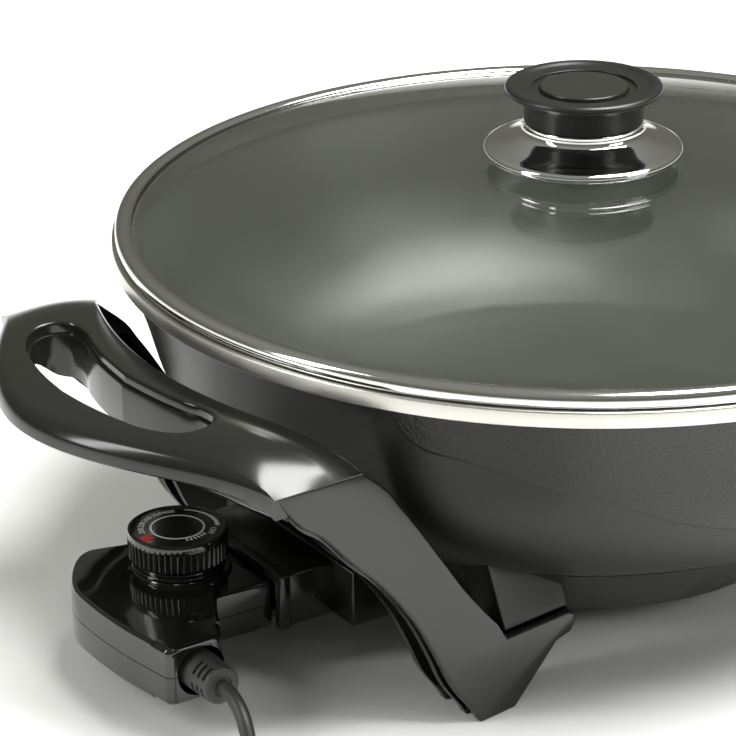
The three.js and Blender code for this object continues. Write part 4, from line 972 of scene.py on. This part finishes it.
phenolic = finish(
    "phenolic", ((0.008, 0.008, 0.0068), (0.012, 0.012, 0.010)), (0.13, 0.19),
    clouds=35, grain=1400, bump=0.000004, scratch=0.05, Specular_IOR_Level=0.5,
)
for name, end, node in (("handle_near", -1, "handle_control_side"), ("handle_far", 1, "handle_far_side")):
    piece(name, build_handle(end), "pan_unit", [phenolic], [node], crease=36)

# The shroud: a black phenolic guard round the socket, open below. A heavy flange frames the mouth where
# the heat control goes in, and the wide rear part follows the housing and is screwed to the pan.
SHROUD_FRONT = 147
SHROUD_FLANGE = 4.5
SHROUD_STEP = 124.8
SHROUD_BACK = 96
SHROUD_TOP = 35.4
SHROUD_LOW = 15.3
SHROUD_WALL = 2.3
SHROUD_HALF = (30.7, 29.2, 41)
SHROUD_DROP = 0.75
SHROUD_ROUND = 0.8
SHROUD_OVERLAP = 1
PANEL_INSET = 0.5
PANEL_SEAT = 0.05
REAR_LINE = -SHROUD_BACK - 1
HOUSING_FLOOR = (82, 10.3)
HOUSING_RIM = (113.5, 38.5)
SHROUD_GAP = 0.3


def arch(half, top, low, wall):
    """The outline of an arch that is open below, as y and z."""
    return [
        (-half, low), (-half, top), (half, top), (half, low), (half - wall, low), (half - wall, top - wall),
        (-half + wall, top - wall), (-half + wall, low),
    ]


def laid(bm):
    """Lays a slab of y and z down, so that its heights run towards the heat control."""
    return bent(bm, lambda y, z, reach: (-reach, y, z))


bm = bmesh.new()
flange_half, throat_half, rear_half = SHROUD_HALF
inner_half = throat_half - SHROUD_WALL
flange_back = SHROUD_FRONT - SHROUD_FLANGE
throat_top = SHROUD_TOP - SHROUD_DROP
shroud_parts = (
    # half width, top, wall, from, to
    (flange_half, SHROUD_TOP, flange_half - inner_half, flange_back, SHROUD_FRONT),
    (throat_half, throat_top, SHROUD_WALL, SHROUD_STEP - SHROUD_OVERLAP, flange_back + SHROUD_OVERLAP),
    (rear_half, SHROUD_TOP, SHROUD_WALL, SHROUD_BACK, SHROUD_STEP),
)
for half, top, wall, near, far in shroud_parts:
    part = laid(slab(arch(half, top, SHROUD_LOW, wall), near, far))
    soften(part, SHROUD_ROUND, angle=40, where=lambda place: place.x < REAR_LINE)
    take_in(bm, part)
for sign in (-1, 1):
    near, far = sorted((sign * (inner_half + PANEL_INSET), sign * (rear_half - PANEL_INSET)))
    panel = box_outline(near, SHROUD_LOW, far, SHROUD_TOP - SHROUD_OVERLAP)
    take_in(bm, laid(slab(panel, SHROUD_STEP - SHROUD_WALL, SHROUD_STEP - PANEL_SEAT)))
for vert in bm.verts:
    if vert.co.x > REAR_LINE:
        share = (vert.co.z - HOUSING_FLOOR[1]) / (HOUSING_RIM[1] - HOUSING_FLOOR[1])
        radius = HOUSING_FLOOR[0] + share * (HOUSING_RIM[0] - HOUSING_FLOOR[0]) + 2 * SHROUD_GAP
        vert.co.x = -math.sqrt(radius ** 2 - vert.co.y ** 2)
piece("socket_shroud", bm, "pan_unit", [phenolic], ["receptacle_shroud"])

# The strain relief: a soft matt black boot moulded on the cord, held in the casing by its inner flange.
# Its tapered barrel is cut near its end by rows of slots so that it bends.
RELIEF_AXIS = (-190.5, 23.4)
RELIEF_PROFILE = (
    (0, 39.0), (6.6, 39.0, 0.3), (6.6, 40.8, 0.3), (4.6, 40.8), (4.6, 43.3), (7.2, 43.3, 0.5),
)
RELIEF_SLOTS = (57.3, 60.1, 62.9)
RELIEF_SLOT_WIDTH = 1.3
SLOT_SHARES = (-0.5, -0.42, 0.42, 0.5)
SLOT_FLOOR_SHARE = 0.45
RELIEF_CORE = 5.0
RELIEF_BRIDGES = 5
RELIEF_BRIDGE = math.radians(27)
RELIEF_TURN = math.radians(25)
RELIEF_BARREL = (43.3, 65.6, 7.2, 6.4)
RELIEF_STEPS = 160
RELIEF_END_ROUND = 1.1
RELIEF_END = ((3.4, 65.6), (3.2, 65.2), (2.6, 65.2), (0, 65.2))


def barrel_radius(along):
    start, end, wide, narrow = RELIEF_BARREL
    return wide + (narrow - wide) * (along - start) / (end - start)


relief_profile = list(RELIEF_PROFILE)
for middle in RELIEF_SLOTS:
    for share in SLOT_SHARES:
        along = middle + share * RELIEF_SLOT_WIDTH
        relief_profile.append((barrel_radius(along), along))
barrel_end = RELIEF_BARREL[1]
relief_profile += [(barrel_radius(barrel_end), barrel_end, RELIEF_END_ROUND), *RELIEF_END]
bm = turned(relief_profile, RELIEF_STEPS)
bridge_turn = 2 * math.pi / RELIEF_BRIDGES
for vert in bm.verts:
    if any(abs(vert.co.z - middle) < SLOT_FLOOR_SHARE * RELIEF_SLOT_WIDTH for middle in RELIEF_SLOTS):
        angle = math.atan2(vert.co.y, vert.co.x) % bridge_turn
        if RELIEF_BRIDGE / 2 < angle < bridge_turn - RELIEF_BRIDGE / 2:
            vert.co.xy *= RELIEF_CORE / vert.co.xy.length
moved(spun(spun(bm, RELIEF_TURN), math.pi / 2, "X"), RELIEF_AXIS[0], 0, RELIEF_AXIS[1])
boot_rubber = finish(
    "boot_rubber", ((0.028, 0.028, 0.027), (0.038, 0.038, 0.037)), (0.5, 0.6),
    clouds=50, grain=1500, bump=0.00003,
)
piece("strain_boot", bm, "heat_control", [boot_rubber], ["strain_relief"])

# The lid's rim: a stainless strip rolled over the glass's edge into a round bead, with a skirt that
# drops inside the pan's rim and keeps the lid in place.
RIM_PROFILE = (
    (157.6, 116.1), (158.7, 116.1), (158.7, 121.9, 0.5), (163.9, 121.9), (164.6, 122.15), (164.95, 122.9),
    (165.0, 124.0), (164.9, 125.1), (164.5, 126.1), (163.7, 126.8), (162.6, 127.1), (161.3, 127.2),
    (160.1, 127.0), (159.3, 126.5), (159.0, 126.0), (163.8, 126.0), (163.8, 122.5), (157.6, 122.5, 0.4),
)
LID_STEPS = 192
steel_shine = finish(
    "polished_steel", ((0.62, 0.62, 0.60), (0.72, 0.72, 0.70)), (0.07, 0.13),
    clouds=12, grain=2600, bump=0.000002, scratch=0.08, Metallic=1.0,
)
bm = turned(RIM_PROFILE, LID_STEPS)
piece("rim_strip", bm, "lid", [steel_shine], ["lid_rim"], crease=40)

# The lid's glass: tempered, very slightly green, pressed to a low dome and fine-ground round its edge.
# The knob's screw passes through a hole at its centre.
GLASS_HOLE = 4.5
GLASS_EDGE = 163.5
GLASS_EDGE_ROUND = 0.6
GLASS_LOW = 122.8
GLASS_THICK = 2.8
DOME_RADIUS = 159.9
DOME_RISE = 20
DOME_STEPS = 24
GLASS_TONES = ((0.90, 0.93, 0.89), (0.94, 0.96, 0.93))
GLASS_CLOUDS = 12
GLASS_GRAIN = 300
GLASS_HAZE = 0.03
GLASS_SHADOW = (0.88, 0.91, 0.87, 1)


def dome(radius):
    return GLASS_LOW + GLASS_THICK + DOME_RISE * (1 - min(1, radius / DOME_RADIUS) ** 2)


def clear_glass():
    """Clear glass that lets the studio's light through to what is under it."""
    material, tree, shader = new_tree("lid_glass")
    link = tree.links.new
    shader.inputs["Transmission Weight"].default_value = 1
    shader.inputs["IOR"].default_value = 1.5
    marks = toned(tree, shader, GLASS_TONES, GLASS_CLOUDS, GLASS_GRAIN)
    haze = new_node(tree, "MapRange", To_Min=0, To_Max=GLASS_HAZE)
    link(marks.outputs["Scratches"], haze.inputs["Value"])
    link(haze.outputs["Result"], shader.inputs["Roughness"])
    through = new_node(tree, "BsdfTransparent", Color=GLASS_SHADOW)
    path = new_node(tree, "LightPath")
    either = new_node(tree, "MixShader")
    link(path.outputs["Is Shadow Ray"], either.inputs["Fac"])
    link(shader.outputs["BSDF"], either.inputs[1])
    link(through.outputs["BSDF"], either.inputs[2])
    link(either.outputs["Shader"], tree.nodes["Material Output"].inputs["Surface"])
    return material


upper = []
for step in range(DOME_STEPS + 1):
    radius = GLASS_HOLE + (DOME_RADIUS - GLASS_HOLE) * step / DOME_STEPS
    upper.append((radius, dome(radius)))
lower = [(radius, height - GLASS_THICK) for radius, height in reversed(upper)]
edge = [(GLASS_EDGE, height, GLASS_EDGE_ROUND) for height in (GLASS_LOW + GLASS_THICK, GLASS_LOW)]
bm = turned([*upper, *edge, *lower], LID_STEPS)
piece("glass_dome", bm, "lid", [clear_glass()], ["lid_glass"])

# The knob's skirt: a stainless pressing, mirror polished, that spreads the knob's foot over the glass.
# A grey silicone gasket lies between the knob's boss and the glass.
SKIRT_PROFILE = (
    (24.8, 145.5), (26.0, 145.5, 0.3), (34.3, 148.1, 0.3), (34.9, 148.7), (35.0, 149.5), (34.9, 150.4),
    (34.4, 150.95), (33.4, 151.3), (31.5, 151.7), (29.5, 152.3), (27.5, 153.1), (25.6, 154.0), (24.0, 154.8),
    (22.8, 155.5), (21.9, 156.1), (21.3, 156.8), (21.05, 157.6), (21.0, 158.6), (21.0, 160.0, 0.5),
    (9.3, 160.0, 0.3), (9.3, 158.8), (19.8, 158.8), (19.8, 154.0), (24.8, 149.7),
)
KNOB_STEPS = 96
silicone = finish(
    "silicone", ((0.10, 0.10, 0.10), (0.13, 0.13, 0.13)), (0.55, 0.65),
    clouds=80, grain=900, bump=0.00002,
)
dress(silicone, "knob_gasket")
mirror_steel = finish(
    "mirror_steel", ((0.70, 0.70, 0.69), (0.78, 0.78, 0.77)), (0.03, 0.07),
    clouds=20, grain=2600, bump=0.000001, scratch=0.06, Metallic=1.0,
)
bm = turned(SKIRT_PROFILE, KNOB_STEPS)
piece("knob_base", bm, "lid", [mirror_steel], ["knob_skirt"], crease=40)

# The knob: black phenolic, held by the screw, with a plain neck and a thick rounded flange. A flat glossy
# cap with a groove round it sits in its dished top.
KNOB_PROFILE = (
    (0, 147.9), (9, 147.9, 0.3), (9, 160.3), (20.9, 160.3, 0.4), (20.9, 166.2), (21.1, 167.8), (21.7, 169.0),
    (22.6, 169.8), (24.0, 170.0), (25.6, 170.05), (26.6, 170.3), (27.3, 170.9), (27.6, 171.6), (27.5, 172.3),
    (27.0, 172.85), (26.2, 173.15), (25.4, 173.2), (24.6, 173.0), (23.9, 172.6), (23.2, 172.2), (22.2, 172.0),
    (18.3, 172.0, 0.3), (18.3, 171.0, 0.2), (15.7, 171.0), (15.7, 170.2), (0, 170.2),
)
CAP_PROFILE = ((0, 170.5), (15.4, 170.5), (15.4, 172.5, 0.6), (8.0, 172.42), (0, 172.4))
knob_matt = finish(
    "knob_matt", ((0.008, 0.008, 0.007), (0.013, 0.013, 0.011)), (0.26, 0.34),
    clouds=45, grain=1500, bump=0.00001, scratch=0.06,
)
bm = turned(KNOB_PROFILE, KNOB_STEPS)
piece("knob_grip", bm, "lid", [knob_matt], ["knob_body"], crease=40)
cap_gloss = finish(
    "cap_gloss", ((0.014, 0.014, 0.012), (0.022, 0.022, 0.019)), (0.2, 0.28),
    clouds=60, grain=1500, bump=0.000004, scratch=0.08,
)
bm = turned(CAP_PROFILE, KNOB_STEPS)
piece("knob_inlay", bm, "lid", [cap_gloss], ["knob_cap"])

# The heat control's casing: two halves of very glossy black phenolic that meet at mid height. The head
# takes the cord and dial, the neck fills the shroud's mouth, and the nose carries the sockets.
CASE_AXIS = 23.4
SEAM = 0.15
HEAD_HALF = 10.4
NECK_HALF = 8.9
NOSE_HALF = 7.2
HEAD_SIDE = (
    (-203.96, -43), (-205.9, -30.2), (-206.8, -18), (-207.0, -8), (-206.6, 1.5), (-205.0, 8.2),
    (-202.0, 14.4), (-197.6, 21.0), (-193.0, 25.8), (-188.3, 27.8), (-183.3, 27.1), (-176.3, 25.2),
    (-170.0, 23.9), (-166.3, 22.9),
)
HEAD_BACK = ((-166.3, -22.9), (-170.0, -27.0), (-177.8, -43))
HEAD_END = (-43, -52, (-203.96, -202.6), (-177.8, -182.2))
NECK = (147, 172.5, 25)
NECK_ROUND = 1.4
NOSE = (111.5, 149, 22)
NOSE_CORNER = 0.8
PIN_HOLES = ((-11.5, 2.65), (0, 3.5), (11.5, 2.65))
PIN_STEPS = 12
CASE_ROUND = 2.4
CASE_SEGMENTS = 6
END_ROUND = (3.2, 1.2, 2.4)
RECESS_RADIUS = 8.8
RECESS_STEPS = 24
PEDESTAL = (
    (0, 30), (18.2, 30), (18.2, 32.2), (17.2, 33.8), (15.9, 34.0), (15.6, 34.3), (0, 34.3),
)
PEDESTAL_STEPS = 96
DIAL_AXIS = -168.3


def case_part(outline, half, rounding, segments, cut=-math.inf):
    """A part of a casing half over an outline in x and y, its outer edge rounded but where it is cut off."""
    bm = slab(outline, SEAM, half)
    edges = [edge for edge in bm.edges if min(vert.co.z for vert in edge.verts) > half - SAME]
    edges = [edge for edge in edges if max(vert.co.y for vert in edge.verts) > cut + SAME]
    round_edges(bm, edges, rounding, segments)
    return bm


def end_section(y, inset=0, drop=0):
    """The cord end's section round its recess at a place along y, drawn in at its sides and its top."""
    near, far, left, right = HEAD_END
    share = (y - near) / (far - near)
    west = left[0] + share * (left[1] - left[0]) + inset
    east = right[0] + share * (right[1] - right[0]) - inset
    fall = []
    for turn in quarter(CASE_SEGMENTS):
        fall.append((CASE_ROUND * (1 - math.cos(turn)), CASE_ROUND * (1 - math.sin(turn))))
    top = HEAD_HALF - drop
    ring = [(west, SEAM), *((west + across, top - down) for across, down in fall)]
    ring += [*((east - across, top - down) for across, down in reversed(fall)), (east, SEAM)]
    start = math.asin(SEAM / RECESS_RADIUS)
    for step in range(RECESS_STEPS + 1):
        turn = start + (math.pi - 2 * start) * step / RECESS_STEPS
        ring.append((RELIEF_AXIS[0] + RECESS_RADIUS * math.cos(turn), RECESS_RADIUS * math.sin(turn)))
    return [(x, y, z) for x, z in ring]


def cord_end():
    """The head's end with the round recess that the strain relief stands in."""
    near, far, *_ = HEAD_END
    inset, drop, rounding = END_ROUND
    sections = [end_section(near)]
    for turn in reversed(quarter(CASE_SEGMENTS)):
        drawn = 1 - math.sin(turn)
        sections.append(end_section(far + rounding * (1 - math.cos(turn)), inset * drawn, drop * drawn))
    bm = bmesh.new()
    loft(bm, sections)
    merge(bm)
    bmesh.ops.holes_fill(bm, edges=[edge for edge in bm.edges if edge.is_boundary], sides=0)
    return face_out(bm)


def nose_part():
    near, far, across = NOSE
    outline = [(-across, SEAM)]
    for middle, radius in PIN_HOLES:
        start = math.acos(SEAM / radius)
        for step in range(PIN_STEPS + 1):
            turn = -start + 2 * start * step / PIN_STEPS
            outline.append((middle + radius * math.sin(turn), radius * math.cos(turn)))
    outline += [(across, SEAM), (across, NOSE_HALF), (-across, NOSE_HALF)]
    bm = laid(slab(outline, near, far))
    soften(bm, NOSE_CORNER, angle=40, where=lambda place: (
        place.z > NOSE_HALF - SAME or abs(place.y) > across - SAME
    ))
    return bm


def half_case(up):
    """One half of the casing: up is 1 for the upper half and -1 for the lower."""
    bm = case_part([*line_of(HEAD_SIDE), *HEAD_BACK], HEAD_HALF, CASE_ROUND, CASE_SEGMENTS, HEAD_END[0])
    take_in(bm, cord_end())
    near, far, across = NECK
    take_in(bm, case_part(box_outline(-far, -across, -near, across), NECK_HALF, NECK_ROUND, segments=4))
    take_in(bm, nose_part())
    if up > 0:
        take_in(bm, moved(turned(PEDESTAL, PEDESTAL_STEPS), DIAL_AXIS, 0, -CASE_AXIS))
    bmesh.ops.scale(bm, verts=bm.verts, vec=(1, 1, up))
    if up < 0:
        bmesh.ops.reverse_faces(bm, faces=bm.faces)
    return moved(bm, 0, 0, CASE_AXIS)


case_gloss = finish(
    "case_gloss", ((0.006, 0.006, 0.006), (0.009, 0.009, 0.0085)), (0.06, 0.11),
    clouds=30, grain=1300, bump=0.000002, scratch=0.05, Coat_Weight=0.4, Coat_Roughness=0.04,
)
for name, up, node in (("upper_case", 1, "control_case_top"), ("lower_case", -1, "control_case_bottom")):
    piece(name, half_case(up), "heat_control", [case_gloss], [node], crease=36)

# The bezel: a black stepped ring on the casing's round pedestal, under the dial. It is moulded in the
# same glossy black as the casing.
BEZEL_PROFILE = (
    (3.3, 34.6), (15.6, 34.6, 0.2), (15.6, 35.7, 0.3), (14.5, 35.7), (14.5, 36.8, 0.3), (13.4, 36.8),
    (13.4, 37.9, 0.3), (3.3, 37.9),
)
bm = moved(turned(BEZEL_PROFILE, PEDESTAL_STEPS), DIAL_AXIS, 0, 0)
piece("stepped_ring", bm, "heat_control", [case_gloss], ["dial_bezel"])

# The dial: a black phenolic knob with fine flutes under a smooth band, on a brass spindle. Its face carries
# printed marks: a ring, numbers with OFF, a red start mark and a white arc that grows with the heat.
DIAL_PROFILE = (
    (3.3, 38.2), (16.55, 38.2), (17.0, 38.65), (17.05, 39.2), (17.05, 44.9), (17.05, 45.4), (17.05, 45.6),
    (17.05, 47.5), (16.8, 48.1), (16.25, 48.4), (15.7, 48.4), (15.4, 48.25), (15.3, 48.0), (0, 48.0),
    (0, 44.8), (3.3, 44.8),
)
FLUTES = 54
FLUTE_STEPS = 8
FLUTE_SKIN = 16.45
FLUTE_TOP = 45.5
FLUTE_FADE = 45.1
FLUTE_DEPTH = 0.45
FLUTE_POWER = 0.7
FLUTE_END = 0.4
bm = turned(DIAL_PROFILE, FLUTES * FLUTE_STEPS)
for vert in bm.verts:
    radius = vert.co.xy.length
    if radius > FLUTE_SKIN and vert.co.z < FLUTE_TOP:
        phase = math.atan2(vert.co.y, vert.co.x) * FLUTES / (2 * math.pi) % 1
        hollow = FLUTE_DEPTH * max(0, math.sin(math.pi * phase)) ** FLUTE_POWER
        fade = FLUTE_END if vert.co.z > FLUTE_FADE else 1
        vert.co.xy *= (radius - hollow * fade) / radius
moved(bm, DIAL_AXIS, 0, 0)
piece("dial_knob", bm, "dial", [case_gloss], ["control_dial"], crease=30)

PRINT_FLOOR = 47.96
PRINT_TOP = 48.06
RING_PRINT = (8.7, 9.4)
RING_STEPS = 96
ARC_PRINT = (13.6, 0.18, 0.75)
ARC_TURNS = (math.radians(50), math.radians(-28))
ARC_STEPS = 24
RED_PRINT = (10.6, 15.0, 1.9, math.radians(188))
RED_ROUND = 0.9
NUMBERS = (("OFF", -47), ("200", 160), ("250", 138), ("300", 116), ("350", 94), ("400", 74))
NUMBER_SIZE = 2.9
NUMBER_RING = 12.2
TICK_RING = (9.9, 11.3, 0.3)
TICK_TURNS = tuple(range(-102, -58, 8))


def laid_word(word, turn):
    """A printed word on the dial's face, its foot towards the middle."""
    letters = bpy.data.curves.new("letters", "FONT")
    letters.body = word
    letters.size = NUMBER_SIZE
    letters.align_x = "CENTER"
    letters.align_y = "CENTER"
    letters.extrude = (PRINT_TOP - PRINT_FLOOR) / 2
    letters.resolution_u = 3
    spare = enter(bpy.data.objects.new("letters", letters))
    mesh = bpy.data.meshes.new_from_object(spare)
    bpy.data.objects.remove(spare)
    part = bmesh.new()
    part.from_mesh(mesh)
    bpy.data.meshes.remove(mesh)
    merge(part, MERGE_TURNED)
    moved(part, 0, NUMBER_RING, (PRINT_FLOOR + PRINT_TOP) / 2)
    return spun(part, math.radians(turn - 90))


def bar_print(near, far, half, turn):
    return spun(slab(box_outline(near, -half, far, half), PRINT_FLOOR, PRINT_TOP), turn)


printed_white = finish(
    "printed_white", ((0.55, 0.55, 0.52), (0.68, 0.68, 0.65)), (0.35, 0.45),
    clouds=300, grain=2500, bump=0.000002, scratch=0.1,
)
printed_red = finish(
    "printed_red", ((0.48, 0.022, 0.015), (0.60, 0.04, 0.03)), (0.3, 0.4),
    clouds=300, grain=2500, bump=0.000002, scratch=0.1,
)
ring_in, ring_out = RING_PRINT
bm = turned(box_outline(ring_in, PRINT_FLOOR, ring_out, PRINT_TOP), RING_STEPS)
middle, thin, thick = ARC_PRINT
arc_out, arc_in = [], []
for step in range(ARC_STEPS + 1):
    turn = ARC_TURNS[0] + (ARC_TURNS[1] - ARC_TURNS[0]) * step / ARC_STEPS
    half = thin + (thick - thin) * step / ARC_STEPS
    arc_out.append(((middle + half) * math.cos(turn), (middle + half) * math.sin(turn)))
    arc_in.append(((middle - half) * math.cos(turn), (middle - half) * math.sin(turn)))
take_in(bm, slab([*arc_out, *reversed(arc_in)], PRINT_FLOOR, PRINT_TOP))
for word, turn in NUMBERS:
    take_in(bm, laid_word(word, turn))
for turn in TICK_TURNS:
    take_in(bm, bar_print(*TICK_RING, math.radians(turn)))
moved(bm, DIAL_AXIS, 0, 0)
piece("dial_print", bm, "dial", [printed_white])
bm = bar_print(*RED_PRINT)
soften(bm, RED_ROUND, segments=4, angle=60)
moved(bm, DIAL_AXIS, 0, 0)
piece("dial_mark", bm, "dial", [printed_red])
contacts = ("contact_sleeve_left", "contact_sleeve_right", "contact_blade_lower", "contact_blade_upper")
dress(contact_brass, "dial_shaft", *contacts)

# The sensor rod: a round polished steel tube with a domed tip. It stands out of the casing's nose and
# reaches into the pan's well, so that the control feels the pan's heat.
dress(steel_shine, "sensor_rod")
